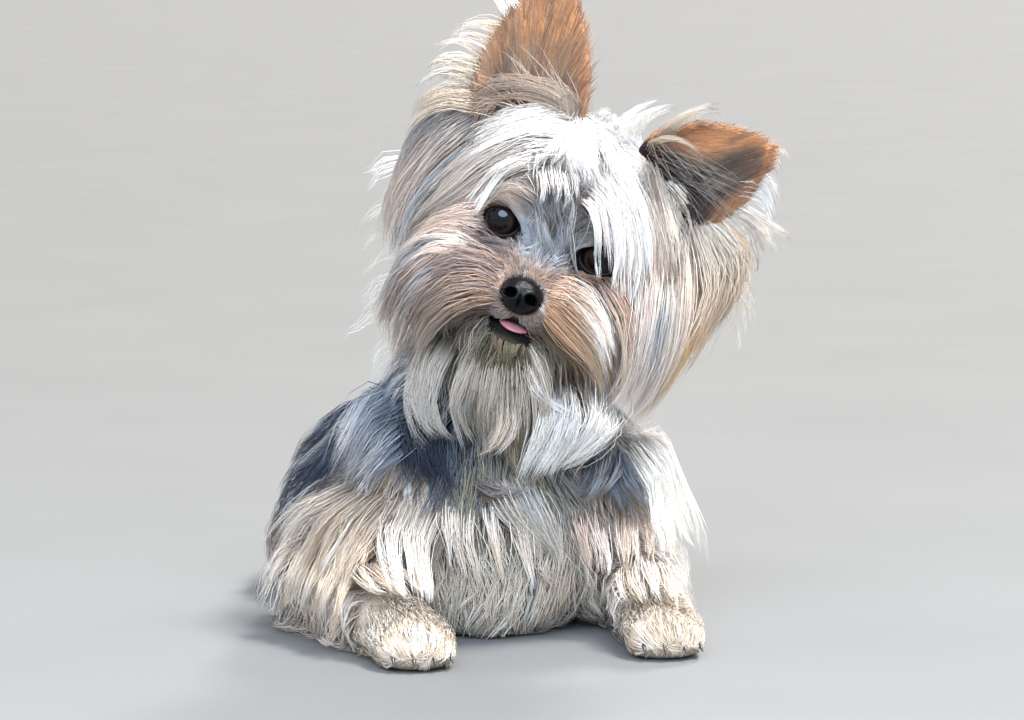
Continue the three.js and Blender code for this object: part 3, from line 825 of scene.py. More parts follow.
def clear_face(pts, veil=0.0, ears=True):
    """Keeps hair off the right eye, the nose, the mouth and the hollows of the ears; the left eye may be veiled."""
    h = to_head(thicken(pts).reshape(-1, 3)).reshape(-1, pts.shape[1], 3)
    ok = clear_of(h, (-21.9, -38, -3.0), (8.9, 13, 6.2))
    ok &= clear_of(h, (21.2, -38, -3.4), (8.6, 12, 6.2), 1.0 - veil)
    ok &= clear_of(h, (-1.1, -67, -23.2), (8.2, 9, 6.6))
    ok &= clear_of(h, (0.8, -66, -36.9), (7.4, 12, 2.4))
    ok &= clear_of(h, (-8.5, -60, -37.8), (7.0, 12, 1.0), 0.75)
    ok &= clear_of(h, (9.5, -60, -38.4), (6.0, 12, 1.0), 0.75)
    if ears:
        for side in EAR:
            t, crown, off, half = ear_coords(side, *h.reshape(-1, 3).T)
            inside = (t > (0.10 if side == "left" else 0.28)) & (t < 1.1) & (np.abs(crown) < half + 1) & (off > -1) & (off < 34)
            inside = inside.reshape(h.shape[:2])[1:].any(0)
            ok &= ~inside | (rng.random(len(ok)) > 0.985)
    return ok


tally = {}
TONE = {  # how much each kind of hair's colours are darkened: partly its own deeper colour, partly painted shade on the muzzle, the chin and the chest under the beard
    "coat_muzzle": 0.64, "coat_face_bridge": 0.84, "coat_face_brow": 0.76, "coat_face_lid": 0.8,
    "coat_beard": np.array((0.78, 0.765, 0.72)), "coat_cheek": np.array((0.83, 0.81, 0.78)),
    "coat_ear_right": np.array((0.69, 0.66, 0.62)), "coat_ear_left": 0.72, "coat_ear_long_left": 0.4,
    "coat_chest": np.array((0.91, 0.89, 0.83)), "coat_foreleg": 0.84, "coat_forepaw": np.array((0.82, 0.8, 0.77)),
}


def add(name, pts, faces, normals, root, tip, width, flat=0.3):
    n = pts.shape[1]
    root, tip = root * TONE.get(name, 1.0), tip * TONE.get(name, 1.0)
    tally[name] = tally.get(name, 0) + n * (6 * (len(pts) - 1) - 2)
    strands.append(dict(
        name=name, pts=pts, face=faces, normal=normals, root=root, tip=tip,
        width=np.broadcast_to(width, (n,)).astype(float), flat=flat))


def vary(root, tip, r, low, amount=0.09):
    """Small changes of brightness from strand to strand, and somewhat darker hair deeper down (low = 1)."""
    b = (1 + amount * (r * 2 - 1))[:, None]
    low = np.broadcast_to(low, r.shape)[:, None]
    return np.clip(root * b * (1 - 0.28 * low), 0, 1), np.clip(tip * b * (1 - 0.12 * low), 0, 1)


def lock_random(mine, n, own=0.3):
    """A number for each strand, mostly shared by its lock."""
    a, b = rng.random(mine.max() + 1)[mine], rng.random(n)
    return np.clip(a * (1 - own) + b * own + (a - 0.5) * own * 0.9, 0, 0.999)


QUICK = 1.0
count = lambda n: int(n * QUICK)
hc = to_head(face_c)  # face centres in the head's frame
hn = face_n @ HEAD_R
is_part = {n: part_of == i for i, n in enumerate(part_names)}
head_m = is_part["head"]


def head_group(name, weight, n, comb_fn, length_fn, steps, level, width, every, pull, waves=(0, 30), lift=0.5,
               gravity=0.1, stiff=1.0, rise=0.35, follow=1.0, veil=0.0, shorten=True, flat=0.3, big=0, swing=(0, 50), avoid=(), slack=1.5):
    n = count(n)
    f, p, nn = choose(weight * head_m, n)
    h = to_head(p)
    r = rng.random((6, n))
    nl = nn @ HEAD_R
    comb = dir_from_head(unit(comb_fn(h, nl, r)))
    lv = level[0] + (level[1] - level[0]) * r[0] ** 0.7
    ln = length_fn(h, r)
    gv = gravity(h, r) if callable(gravity) else gravity
    lf = lift(h, r) if callable(lift) else lift
    fl = follow(h, r) if callable(follow) else follow
    kw = dict(lift=lf, gravity=gv, stiff=stiff, rise=rise, follow=fl)
    pts = grow(p, nn, comb, ln, steps, lv, **kw)
    if shorten:
        share = until_outside(pts)
        pts = grow(p, nn, comb, ln * share, steps, lv, **kw)
    mine = None
    if big:
        pts, whole = clump(pts, big, 0.45, 1.5, (0.6, 0.35))
        if swing[0]:
            pts = wave(pts, whole, *swing, 0)
    if every:
        pts, mine = clump(pts, every, pull)
    if waves[0]:
        pts = wave(pts, mine, *waves)
    pts = tidy(pts, slack)
    ok = clear_face(pts, veil)
    for centre, radii, chance in avoid:
        ok &= clear_of(to_head(thicken(pts).reshape(-1, 3)).reshape(-1, n, 3), centre, radii, chance)
    if mine is None:
        rr = np.clip(0.5 * r[1] + 0.5 * (noise3(h, 5.0, 3) * 1.6 - 0.3), 0, 0.999)
    else:
        rr = lock_random(mine, n)
    root, tip = head_colour(h, rr)
    root, tip = vary(root, tip, r[2], 1 - lv)
    k = np.nonzero(ok)[0]
    add(name, pts[:, ok], f[k], nn[k], root[ok], tip[ok], (width * (0.7 + 0.6 * r[3]) * (1.7 - 1.1 * lv))[ok], flat)


def sgn(x, r, soft=1.5):
    """Which side of the parting a root falls on, a little ragged."""
    return np.where(x + (r - 0.5) * soft > 0, 1.0, -1.0)


X, Y, Z = hc.T
# weights over the head's faces
w_eye_free = 1.0 * (((np.abs(X) - 21) ** 2 / 9.4**2 + (Z + 3.0) ** 2 / 6.9**2 > 1) | (Y > -24))
w_nose_free = 1.0 * (((X + 1.1) ** 2 / 8.1**2 + (Z + 23.2) ** 2 / 6.5**2 > 1) | (Y > -54))
w_lip_free = 1.0 * ((np.abs(Z + 37.0 + 0.010 * X * X) > 2.5) | (Y > -44) | (np.abs(X - 1) > 14))
w_free = w_eye_free * w_nose_free * w_lip_free
w_bridge = ramp(-Y, 26, 31) * (1 - ramp(np.abs(X), 10, 14)) * ramp(Z, -27, -20) * w_free
w_mid = bump(X, -11, 11, 3) * bump(Z, -8, 9, 3) * ramp(-Y, 20, 26) * w_free
w_side = ramp(-Y, 16, 26) * ramp(np.abs(X), 5, 9) * ramp(-Z, 8, 14) * (1 - ramp(-Z, 36, 40)) * w_free
w_lip = ramp(-Y, 46, 52) * ramp(-Z, 27, 30) * (1 - ramp(-Z, 34, 36)) * (1 - ramp(np.abs(X), 10, 14)) * ramp(np.abs(X + 0.5), 0.6, 1.6) * w_free
w_jaw = ramp(-Z, 34, 40) * ramp(-Y, -22, -8) * w_free
w_cheek = ramp(np.abs(X), 17, 24) * ramp(-Z, -16, -4) * (1 - ramp(-Y, 22, 30)) * (1 - ramp(Y, 26, 34)) * w_free
w_crown = ramp(Z, 6, 12) * (1 - ramp(Y, 26, 34)) * w_free
w_brow = bump(np.abs(X), 9, 30, 3) * bump(Z, 1, 13, 3) * ramp(-Y, 14, 22) * w_free
w_back = ramp(Y, 18, 28) * w_free
w_lid = ((np.abs(X) - 21) ** 2 + (Z + 4.0) ** 2 < 14.5**2) * ramp(-Y, 20, 26) * w_free

# short base coat all over the head, so no skin shows between the locks
head_group("coat_head_under", w_free * (1 - ramp(-Y, 42, 48)) * ((Y > -15) | (np.sqrt(((np.abs(X) - 21) / 1.2) ** 2 + (Z + 4) ** 2) > 14)), 2500,
           lambda h, n, r: np.stack([np.sign(h[:, 0]) * 0.6 + (r[4] - 0.5) * 0.6, 0.3 + 0 * r[0], -0.7 + 0 * r[0]], 1),
           lambda h, r: 7 + 11 * ramp(np.abs(h[:, 0]) + np.maximum(h[:, 1] + 30, 0), 10, 40) * (0.7 + 0.6 * r[5]),
           3, (0.15, 0.45), 1.7, 0, 0, lift=0.45, gravity=0.1)


def bridge_comb(h, n, r):
    return np.stack([(h[:, 0] + 0.5) * 0.12 + (r[4] - 0.5) * 0.3, 0.7 + 0 * r[0], 0.8 + (r[5] - 0.5) * 0.2], 1)


# bridge of the nose and between the eyes: short, fanning up and out from the nose pad
head_group("coat_face_bridge", w_bridge, 3200, bridge_comb,
           lambda h, r: (4.0 + 11.0 * ramp(h[:, 1], -58, -40)) * (0.75 + 0.5 * r[4]),
           3, (0.2, 0.9), 0.29, 8, 0.45, lift=0.22, gravity=0.0, rise=0.8)
head_group("coat_face_bridge", w_mid, 1300, bridge_comb, lambda h, r: 7 + 6 * r[5],
           3, (0.2, 0.8), 0.32, 8, 0.5, lift=0.3, gravity=0.0, rise=0.7)
# between the nose and the lips
head_group("coat_face_bridge", w_lip, 800,
           lambda h, n, r: np.stack([(h[:, 0] + 0.5) * 0.2, 0.3 + 0 * r[0], -0.7 + 0 * r[0]], 1),
           lambda h, r: 2.2 + 2.2 * r[5], 3, (0.15, 0.5), 0.24, 0, 0, lift=0.2, gravity=0.0, rise=0.8)

# brow: tan arcs that sweep up and outwards over the eyes
head_group("coat_face_brow", w_brow, 1900,
           lambda h, n, r: np.stack([sgn(h[:, 0], r[4]) * 0.9, 0.1 + 0 * r[0], 0.5 - 0.05 * (np.abs(h[:, 0]) - 12)], 1),
           lambda h, r: (10 + 7 * r[5]) * (0.8 + 0.01 * np.abs(h[:, 0])),
           3, (0.3, 0.9), 0.36, 8, 0.55, lift=0.4, gravity=0.05, rise=0.6)

# rims of the eyes
head_group("coat_face_lid", w_lid, 1800,
           lambda h, n, r: np.stack([(h[:, 0] - np.sign(h[:, 0]) * 21), 6 + 0 * r[0], (h[:, 2] + 4.0)], 1),
           lambda h, r: 4 + 3 * r[5], 3, (0.2, 0.7), 0.28, 5, 0.3, lift=0.3, gravity=0.0, rise=0.6)


def side_comb(h, n, r):
    out = sgn(h[:, 0], r[4])
    up = np.where(out < 0, 0.36, 0.05)
    return np.stack([out * (0.85 + 0.2 * r[5]), 0.35 + 0.012 * (h[:, 1] + 50), up - 0.03 * (-20 - h[:, 2]) - 0.3 * r[4] + 0.1], 1)


# moustache: sweeps out from beside the nose and droops
head_group("coat_muzzle", w_side, 2700, side_comb,
           lambda h, r: (19 + 18 * ramp(h[:, 1], -58, -34)) * (0.75 + 0.5 * r[5]) * np.where(h[:, 0] < 0, 1.25, 1.0),
           4, (0.3, 1.05), 0.44, 10, 0.72, (0.9, 24), lift=0.7, gravity=0.12, rise=0.4, follow=0.9, big=60, swing=(1.6, 40))

# beard and throat
head_group("coat_beard", w_jaw, 2000,
           lambda h, n, r: np.stack([h[:, 0] * 0.04 + 0.25, -0.15 + (r[4] - 0.5) * 0.3, -1 + 0 * r[0]], 1),
           lambda h, r: (40 + 20 * r[5]) * (0.85 + 0.15 * ramp(-h[:, 1], -10, 30)),
           5, (0.3, 0.95), 0.60, 13, 0.85, (1.6, 30), lift=0.7, gravity=0.35, rise=0.4, follow=0.45, big=70, swing=(3.5, 46))


def cheek_comb(h, n, r):
    left = h[:, 0] > 0
    return np.stack([np.where(left, 0.35, -0.65), np.where(left, 0.05, 0.1) + (r[4] - 0.5) * 0.35, -0.9 + 0 * r[0]], 1)


# cheeks: long, hanging
head_group("coat_cheek", w_cheek, 2400, cheek_comb,
           lambda h, r: (44 + 26 * r[5]) * (0.8 + 0.2 * ramp(h[:, 2], -30, 0)),
           5, (0.3, 0.98), 0.62, 13, 0.75, (1.4, 32), lift=0.95, gravity=0.18, rise=0.3, follow=0.85, veil=0.1, big=80, swing=(3.0, 55))


def crown_comb(h, n, r):
    """Out from a point high on the head, turned to the sides along the parting."""
    s = sgn(h[:, 0], r[4], 2.5)
    d = unit(h - np.array([0, 8, 44]))
    front = ramp(-h[:, 1], -12, 22)
    side_ = np.where(s > 0, 0.45, 1.15)
    fwd = np.where(s > 0, -0.55, -0.22)
    return d * 0.6 + np.stack([s * side_, fwd * front, np.where(s > 0, -0.55, 0.12) * front], 1)


# crown and forehead: parted along the middle, long and pale
head_group("coat_crown", w_crown, 2500, crown_comb,
           lambda h, r: (38 + 24 * r[5]) * (1 - 0.3 * ramp(-h[:, 1], 12, 30) * (h[:, 0] < 0)),
           5, (0.35, 1.0), 0.58, 12, 0.75, (1.0, 40), lift=0.8, gravity=0.15, rise=0.35, veil=0.0, big=70, swing=(2.4, 60),
           avoid=[((-14, -38, 7), (14, 14, 8.5), 0.93), ((0, -42, 2), (7.5, 13, 10), 0.9), ((-21.5, -38, -4), (10.5, 13, 9), 0.9)])

# the top of the crown stands up before it falls
head_group("coat_crown", ramp(Z, 20, 27) * (1 - ramp(Y, 14, 24)) * (1 - ramp(-Y, 14, 22)) * w_free, 700,
           lambda h, n, r: unit(h - np.array([0, 6, 40])) * 0.5 + np.stack([(r[4] - 0.5) * 0.8 + 0.1, -0.7 + 0 * r[0], 0.2 + 0 * r[0]], 1),
           lambda h, r: 22 + 12 * r[5], 5, (0.8, 1.15), 0.5, 12, 0.6, (1.0, 40), lift=2.4, gravity=0.06, rise=0.12, veil=0.0)

# wisps that stand away from the rest
head_group("coat_wisps", w_cheek + w_crown, 420,
           lambda h, n, r: crown_comb(h, n, r) + 0.5 * (r[:3].T - 0.5),
           lambda h, r: 34 + 26 * r[5], 5, (1.0, 1.35), 0.30, 210, 0.15, (2.5, 40), lift=1.0, gravity=0.08, rise=0.35, veil=0.1, slack=5.5,
           avoid=[((-14, -38, 7), (14, 14, 8.5), 0.8)])

# nape
head_group("coat_nape", w_back, 1500,
           lambda h, n, r: np.stack([h[:, 0] * 0.02, 0.5 + 0 * r[0], -0.9 + 0 * r[0]], 1),
           lambda h, r: 36 + 16 * r[5], 4, (0.3, 1.0), 0.8, 12, 0.7, (1.4, 38), lift=0.7, gravity=0.2, rise=0.4)


# ------------------------------------------------------------------ single locks laid through given points in the head's frame
def spline(ctrl, t):
    """A smooth line through the points."""
    c = np.asarray(ctrl, float)
    c = np.concatenate([2 * c[:1] - c[1:2], c, 2 * c[-1:] - c[-2:-1]])
    u = t * (len(c) - 3)
    i = np.minimum(u.astype(int), len(c) - 4)
    f = (u - i)[:, None]
    a, b, d, e = c[i], c[i + 1], c[i + 2], c[i + 3]
    return 0.5 * (2 * b + (d - a) * f + (2 * a - 5 * b + 4 * d - e) * f**2 + (3 * b - a - 3 * d + e) * f**3)


skin_tree = KDTree(len(face_c))
for _i, _p in enumerate(face_c):
    skin_tree.insert(Vector(_p), _i)
skin_tree.balance()


def lock(name, ctrl, n, root_r, mid_r, tip_r, width, colours, tips, steps=6, spread=0.12, hold=2.2):
    """A lock of n strands that starts on the skin beneath its first point and runs through the others."""
    n = max(3, int(n * (1)))
    t = np.linspace(0, 1, steps + 1)
    offs = rng.normal(0, 0.5, (n, 3)) * np.where(rng.random(n) < 0.08, 2.2, 1.0)[:, None]
    ends = rng.uniform(1 - spread * 2, 1 + spread * 0.4, n)
    way = unit(ctrl[-1] - ctrl[0])
    sway = rng.normal(0, 1, 3)
    sway = unit(sway - way * (sway @ way)) * mid_r * rng.uniform(0.15, 0.65)
    turns, phase = rng.uniform(5, 10), rng.uniform(0, 6.28)
    pts = np.empty((steps + 1, n, 3))
    for i in range(n):
        tt = np.clip(t * ends[i], 0, 1)
        rad = np.interp(tt, [0, 0.45, 1], [root_r, mid_r, tip_r])[:, None]
        pts[:, i] = spline(ctrl, tt) + offs[i] * rad + rng.normal(0, 0.25, 3) * rad * np.sin(tt * 5)[:, None]
        pts[:, i] += sway * (tt * (np.sin(turns * tt + phase) - np.sin(phase)))[:, None]
    faces, normals = np.empty(n, int), np.empty((n, 3))
    for i in range(n):
        co_, idx, _ = skin_tree.find(Vector(pts[0, i]))
        faces[i], normals[i] = idx, face_n[idx]
        drift = rng.normal(0, 0.45, 3)
        pts[0, i] = face_c[idx] + (drift - face_n[idx] * (drift @ face_n[idx])) - face_n[idx] * 0.8
        pts[1, i] = pts[1, i] * 0.75 + (face_c[idx] + (pts[2, i] - face_c[idx]) * 0.3 + face_n[idx] * 2) * 0.25
    if hold:
        pts = tidy(pts, hold)
    pts[1:, :, 2] = np.maximum(pts[1:, :, 2], 0.5)
    r = np.clip(rng.random() * 0.62 + 0.38 * rng.random(n), 0, 0.999)
    root = pick(colours, [1.0] * len(colours), r)
    tip = pick(tips, [1.0] * len(tips), r)
    root, tip = vary(root, tip, rng.random(n), 0.0)
    ok = clear_face(pts, 1.0, ears=False)
    width = width * rng.uniform(0.7, 1.3, n)
    add(name, pts[:, ok], faces[ok], normals[ok], root[ok], tip[ok], width[ok], 0.3)


def family(name, a, b, k, n, radii, width, colours, tips, ends=(0.78, 1.05), jitter=1.3, steps=6, hold=3, body=False, tone=1.0):
    """Locks spread between two guide lines, each a little different, keeping the lines' height in the coat."""
    a, b = (np.asarray(v, float) if body else from_head(v) for v in (a, b))
    high_a, high_b = (GROW.at(v)[:, 5] for v in (a, b))
    # tone scales a family's colours; where it darkens locks on the right side of the face, about the mouth and under
    # the chin, it is painted shade
    colours, tips = [c * tone for c in colours], [c * tone for c in tips]
    for i in range(k):
        u = np.clip((i + rng.uniform(-0.4, 0.4)) / max(1, k - 1), 0, 1)
        line = a * (1 - u) + b * u
        if hold:
            for _ in range(2):
                g = GROW.at(line)
                line = line + unit(g[:, 1:4]) * np.clip(high_a * (1 - u) + high_b * u - g[:, 5], -5, 10)[:, None]
        line = line + np.linspace(0.3, 1, len(line))[:, None] * rng.normal(0, jitter, 3) * np.array([1, 0.4, 1])
        line = spline(line, np.linspace(0, min(1, rng.uniform(*ends)), len(line)))
        size = rng.uniform(0.55, 1.35)
        lock(name, line, n * size, radii[0], radii[1] * size, radii[2] * size, width, colours, tips, steps, hold=hold)


# crown, swept to the right over the ear's foot
family("coat_locks_crown", [(-3.5, 10, 43.5), (-15, 0.5, 44.5), (-27, 3, 41), (-38.5, 1.5, 35.5), (-46.5, -2, 28), (-52.5, -5, 19)],
       [(-0, -1.5, 33), (-13, -26, 35.5), (-25.5, -25.5, 29), (-35.5, -25, 20.5), (-43, -25.5, 10.5), (-47.5, -28, 1)],
       11, 38, (3.6, 3.2, 1.6), 0.36, [WHITE, WHITE, LILAC], [WHITE, LILAC, WHITE], hold=4, steps=5)
# temple band, darkened as painted shade
family("coat_locks_crown", [(-11.5, 9, 38.5), (-25.5, -10.5, 36), (-36.5, -13, 26.5), (-44.5, -17.5, 14), (-51.5, -24, -0.5), (-56, -27.5, -14.5), (-57, -28, -25.5)],
       [(-7, -17.5, 25), (-19.5, -32.5, 24.5), (-29, -31.5, 17), (-37, -31.5, 6.5), (-44, -32, -3.5), (-49.5, -32, -11.5), (-53.5, -31, -19)],
       11, 36, (3.4, 3.0, 1.3), 0.36, [LILAC, SILVER, CREAM], [CREAM, LILAC, ROSE_TAN], tone=0.53)
# thin arcs over the right eye
family("coat_locks_face", [(-9.5, -13.5, 26), (-19, -32, 23.5), (-26.5, -33, 17), (-29.5, -34, 8.5), (-30.5, -35.5, 1.5), (-30.5, -35.5, -4.5)],
       [(-14, -3, 27.5), (-23.5, -28.5, 24.5), (-30.5, -29.5, 16.5), (-34.5, -31, 8), (-37.5, -33, -0.5), (-41, -34.5, -8)],
       6, 34, (2.0, 1.2, 0.4), 0.32, [WHITE, LILAC], [WHITE, WHITE, LILAC], tone=0.9, steps=7)
# forehead down to the veil
family("coat_locks_crown", [(-4, 1, 42.5), (-6, -24, 38), (-5.5, -33, 31.5), (0, -38, 25.5), (6.5, -39.5, 21)],
       [(2, 8.5, 43), (11, -16, 41), (19, -21.5, 35.5), (27, -24, 28), (33, -23.5, 21)],
       9, 36, (4.0, 3.4, 2.0), 0.36, [WHITE], [WHITE, WHITE, LILAC], hold=3, steps=5)
# veil
family("coat_locks_face", [(4.5, -24, 22), (12, -36.5, 23), (18.5, -37.5, 18), (23.5, -39, 9.5), (27, -38.5, 0.5), (29.5, -39.5, -9)],
       [(7.5, -0.5, 31.5), (19, -24, 32), (29, -25.5, 25), (37.5, -27.5, 14.5), (43, -30.5, 4), (46, -35, -9.5)],
       13, 32, (3.0, 1.9, 0.45), 0.34, [WHITE, WHITE, LILAC], [WHITE, WHITE, LILAC], ends=(0.85, 1.05), hold=3)
# inner lock of the veil
family("coat_locks_face", [(5, -31.5, 15.5), (9.5, -40, 17.5), (14, -41.5, 13.5), (18, -42.5, 6), (21, -40, -3), (25.5, -40.5, -11)],
       [(5, -29, 17.5), (10.5, -39, 19.5), (15, -40.5, 15), (19.5, -41.5, 7.5), (22.5, -38, -1.5), (26, -37, -9.5)],
       3, 22, (1.2, 0.9, 0.3), 0.3, [WHITE, LILAC], [WHITE, WHITE], ends=(0.9, 1.02), hold=3, jitter=0.5)
# second lock over the left eye
family("coat_locks_face", [(5, -26.5, 19.5), (11, -37.5, 21), (16, -39.5, 17), (20.5, -40.5, 8.5), (24.5, -38.5, -0.5), (28, -39.5, -10)],
       [(5.5, -24, 21.5), (12, -37, 22.5), (17.5, -38.5, 17.5), (22.5, -40, 9), (26.5, -39, -0.5), (30.5, -40.5, -11.5)],
       2, 16, (1.4, 1.1, 0.4), 0.28, [WHITE, LILAC], [WHITE, LILAC], ends=(0.85, 1.02), hold=3, jitter=0.6)
# beyond the veil
family("coat_locks_crown", [(20.5, 7, 37.5), (30.5, -10, 32.5), (39, -14, 23.5), (46, -19.5, 14), (50.5, -25.5, 3.5), (53, -31, -9)],
       [(14, 2.5, 34.5), (26.5, -22.5, 29), (36, -24.5, 18.5), (43, -27.5, 8), (48, -31, -3), (50, -34.5, -15)],
       9, 36, (3.4, 3.0, 1.4), 0.36, [WHITE, CREAM, ROSE_TAN], [WHITE, CREAM, ROSE_TAN], hold=3, tone=0.76, steps=5)
# crown, falling forward from the parting
family("coat_locks_crown", [(-9, 3, 42), (-12, -22, 38.5), (-14.5, -30.5, 32), (-17.5, -34.5, 25), (-20.5, -37, 17.5)],
       [(-1, 0.5, 44), (-1.5, -24.5, 39), (-1.5, -34, 31.5), (-1.5, -39.5, 24), (-0.5, -42.5, 17)],
       8, 38, (3.4, 3.0, 0.7), 0.34, [WHITE, WHITE, LILAC], [WHITE, WHITE, LILAC], hold=4, ends=(0.6, 1.1), steps=5)
# forehead wisps
family("coat_locks_face", [(-16.5, -33.5, 27), (-13.5, -38, 22), (-11, -41, 17), (-10, -42.5, 11.5)],
       [(-2.5, -35, 29.5), (2, -39.5, 24), (5, -41.5, 18.5), (6, -43.5, 12.5)],
       7, 13, (2.2, 1.6, 0.7), 0.25, [WHITE, LILAC], [LILAC, SILVER, LILAC], hold=3, ends=(0.6, 1.1), jitter=1.0, steps=4)
# crown, top edge
family("coat_locks_crown", [(-3.5, 10.5, 38), (-2, -7, 46), (-0.5, -6.5, 48.5), (2.5, -8, 47.5)],
       [(8, 10, 41), (9, 9.5, 46), (11.5, 9.5, 48), (16, 8.5, 46.5)],
       5, 26, (2.6, 2.4, 0.9), 0.3, [WHITE], [WHITE], hold=6, steps=4)
# arcs over the foot of the right ear
family("coat_locks_ear", [(-6.5, -2, 45), (-14, -12.5, 51.5), (-26.5, -5.5, 52.5), (-41, -1.5, 50), (-52, -0.5, 43.5), (-58.5, -1.5, 35)],
       [(-8, -10, 43.5), (-17, -9.5, 46), (-30, -4.5, 44), (-40.5, -1.5, 39.5), (-45.5, 0, 33.5), (-49, 0.5, 26)],
       7, 20, (2.0, 1.8, 0.9), 0.25, [PALE_TAN, ROSE_TAN, CREAM], [CREAM, ROSE_TAN, PALE_TAN], hold=0, tone=0.56)
# fringe of the right ear, high
family("coat_locks_ear", [(-51.5, 8.5, 66.5), (-57.5, 6, 67), (-63.5, 5, 64.5), (-67.5, 4, 60.5), (-68.5, 4, 55)],
       [(-53.5, 6.5, 50.5), (-61, 3, 53), (-67.5, 1.5, 52.5), (-72.5, 2, 49.5), (-76, 5, 45)],
       6, 14, (1.9, 1.5, 0.6), 0.24, [CREAM, PALE_TAN], [WHITE, CREAM], hold=0, tone=0.8, steps=5)
# fringe, middle
family("coat_locks_ear", [(-54, 6.5, 48.5), (-61, 2.5, 49.5), (-68, 0.5, 47), (-72, 1.5, 42), (-73.5, 3.5, 35)],
       [(-55, 5, 38.5), (-63.5, -0, 39.5), (-70, -0.5, 37), (-74, 1, 32), (-76, 3, 26)],
       9, 18, (2.2, 1.9, 0.7), 0.25, [CREAM, PALE_TAN], [WHITE, CREAM], hold=0, tone=0.78, steps=5)
# fringe, low
family("coat_locks_ear", [(-53.5, 5, 36.5), (-61, -0.5, 35.5), (-67.5, -2.5, 32), (-72, -0, 26.5), (-74.5, 2, 20)],
       [(-48.5, 5.5, 28.5), (-58, -0, 29.5), (-66, -3.5, 25.5), (-71.5, -1, 18), (-73.5, 1.5, 8.5)],
       9, 20, (2.6, 2.3, 0.9), 0.26, [ROSE_TAN, PALE_TAN, CREAM], [CREAM, PALE_TAN, CREAM], hold=0, tone=0.72, steps=5)
# wisps above
family("coat_locks_ear", [(-50.5, 9, 68.5), (-55.5, 8.5, 72), (-60, 9, 75.5), (-64.5, 10, 80)],
       [(-49, 9, 74.5), (-53.5, 9, 78), (-57.5, 10, 81.5), (-60.5, 11, 85.5)],
       4, 14, (1.6, 1.4, 0.7), 0.26, [WHITE], [WHITE], hold=0, steps=5)
# inside tuft
family("coat_locks_ear", [(-53, 3.5, 28.5), (-52, 0.5, 34.5), (-48.5, 1, 39.5), (-43.5, 1.5, 42.5)],
       [(-44, 5, 26), (-44, 1.5, 32.5), (-41.5, 1.5, 37), (-37, 1.5, 39.5)],
       4, 20, (2.0, 2.0, 0.8), 0.27, [ROSE_TAN, TAN], [PALE_TAN, ROSE_TAN], hold=0, tone=0.7, steps=4)
# fall from the right ear, darkened as painted shade
family("coat_locks_side", [(-56.5, 3, 31), (-64, -1.5, 23), (-70, 4, 9.5), (-71.5, 5, -3.5), (-70.5, 0, -15.5), (-67, -7.5, -26.5), (-63, -16.5, -38)],
       [(-46.5, 5, 22), (-52.5, -4, 13.5), (-57, -14.5, 4), (-60, -18.5, -6.5), (-60, -23, -16.5), (-58.5, -27, -27), (-56.5, -27, -39)],
       13, 38, (3.2, 3.0, 1.4), 0.36, [SLATE, SILVER, ROSE_TAN], [SILVER, ROSE_TAN, CREAM], hold=6, tone=0.53)
# steel streak
family("coat_locks_side", [(-43, 4.5, 19.5), (-48, -10.5, 14.5), (-52.5, -17.5, 5.5), (-56.5, -21.5, -4), (-58.5, -24.5, -13), (-59, -26.5, -23), (-57.5, -27.5, -33)],
       [(-44.5, 3, 15), (-48.5, -15.5, 10.5), (-52.5, -22.5, 1.5), (-55.5, -25.5, -7.5), (-57, -28, -17), (-56.5, -29.5, -26), (-55.5, -29.5, -36)],
       4, 30, (1.9, 1.9, 1.1), 0.36, [BLUE_GREY, SLATE], [SLATE, SILVER], hold=5, tone=0.75)
# right cheek, outer
family("coat_locks_side", [(-43, -9, -18), (-49.5, -34.5, -21.5), (-54, -31.5, -32.5), (-55.5, -24, -46), (-57, -17, -58), (-59, -11.5, -68.5)],
       [(-27, -25, -26), (-35.5, -50.5, -30), (-41, -46, -42), (-44, -28, -57), (-44, -17.5, -69.5), (-42, -15.5, -80.5)],
       13, 36, (3.6, 3.0, 1.1), 0.36, [SILVER, BLUE_GREY, ROSE_TAN], [LILAC, SILVER, ROSE_TAN], hold=8, tone=0.76, steps=5)
# fine arcs on the right cheek
family("coat_locks_face", [(-22, -28.5, -17.5), (-30.5, -41.5, -12.5), (-39.5, -39.5, -13), (-48, -36.5, -17), (-55, -32.5, -26)],
       [(-23, -26, -24.5), (-32, -45.5, -19.5), (-41.5, -43, -22), (-48.5, -40, -30), (-52, -33.5, -41)],
       6, 20, (1.7, 1.5, 0.6), 0.28, [CREAM, LILAC, ROSE_TAN], [WHITE, CREAM, LILAC], hold=5, tone=0.85, steps=5)
# right cheek, beside the eye
family("coat_locks_face", [(-30, -31.5, -0.5), (-36.5, -34, -3), (-43, -34.5, -8), (-49, -34.5, -15.5), (-54, -32, -25)],
       [(-24, -30, -14.5), (-32.5, -39, -11), (-40, -38.5, -13.5), (-48, -36.5, -20.5), (-54, -32, -31.5)],
       8, 26, (2.4, 2.2, 0.9), 0.3, [ROSE_TAN, LILAC, ROSE_BROWN], [LILAC, ROSE_TAN, CREAM], hold=4, tone=0.8, steps=5)
# between the eyes, low
family("coat_locks_face", [(1, -44, -7.5), (-3, -45.5, -2), (-6.5, -44, 3), (-10, -42.5, 8.5)],
       [(8.5, -37.5, -5.5), (8, -43, 2), (6.5, -42.5, 9.5), (4, -41.5, 15.5)],
       6, 15, (2.2, 1.8, 0.8), 0.25, [BLUE_GREY, SILVER, SLATE], [SLATE, BLUE_GREY, SILVER], hold=2, jitter=2.2, ends=(0.6, 1.1), tone=0.85, steps=4)
# between the eyes, high
family("coat_locks_face", [(-1, -37, 0), (-5, -43.5, 6), (-9.5, -42, 10.5), (-12, -40, 15)],
       [(6, -35.5, 3), (6, -41.5, 10.5), (4.5, -40.5, 16.5), (1, -39, 21)],
       7, 17, (2.4, 1.9, 0.8), 0.25, [SLATE, DARK_OLIVE, BROWN], [SLATE, DARK_OLIVE, BLUE_GREY], hold=2, jitter=2.0, ends=(0.6, 1.1), tone=0.8, steps=4)
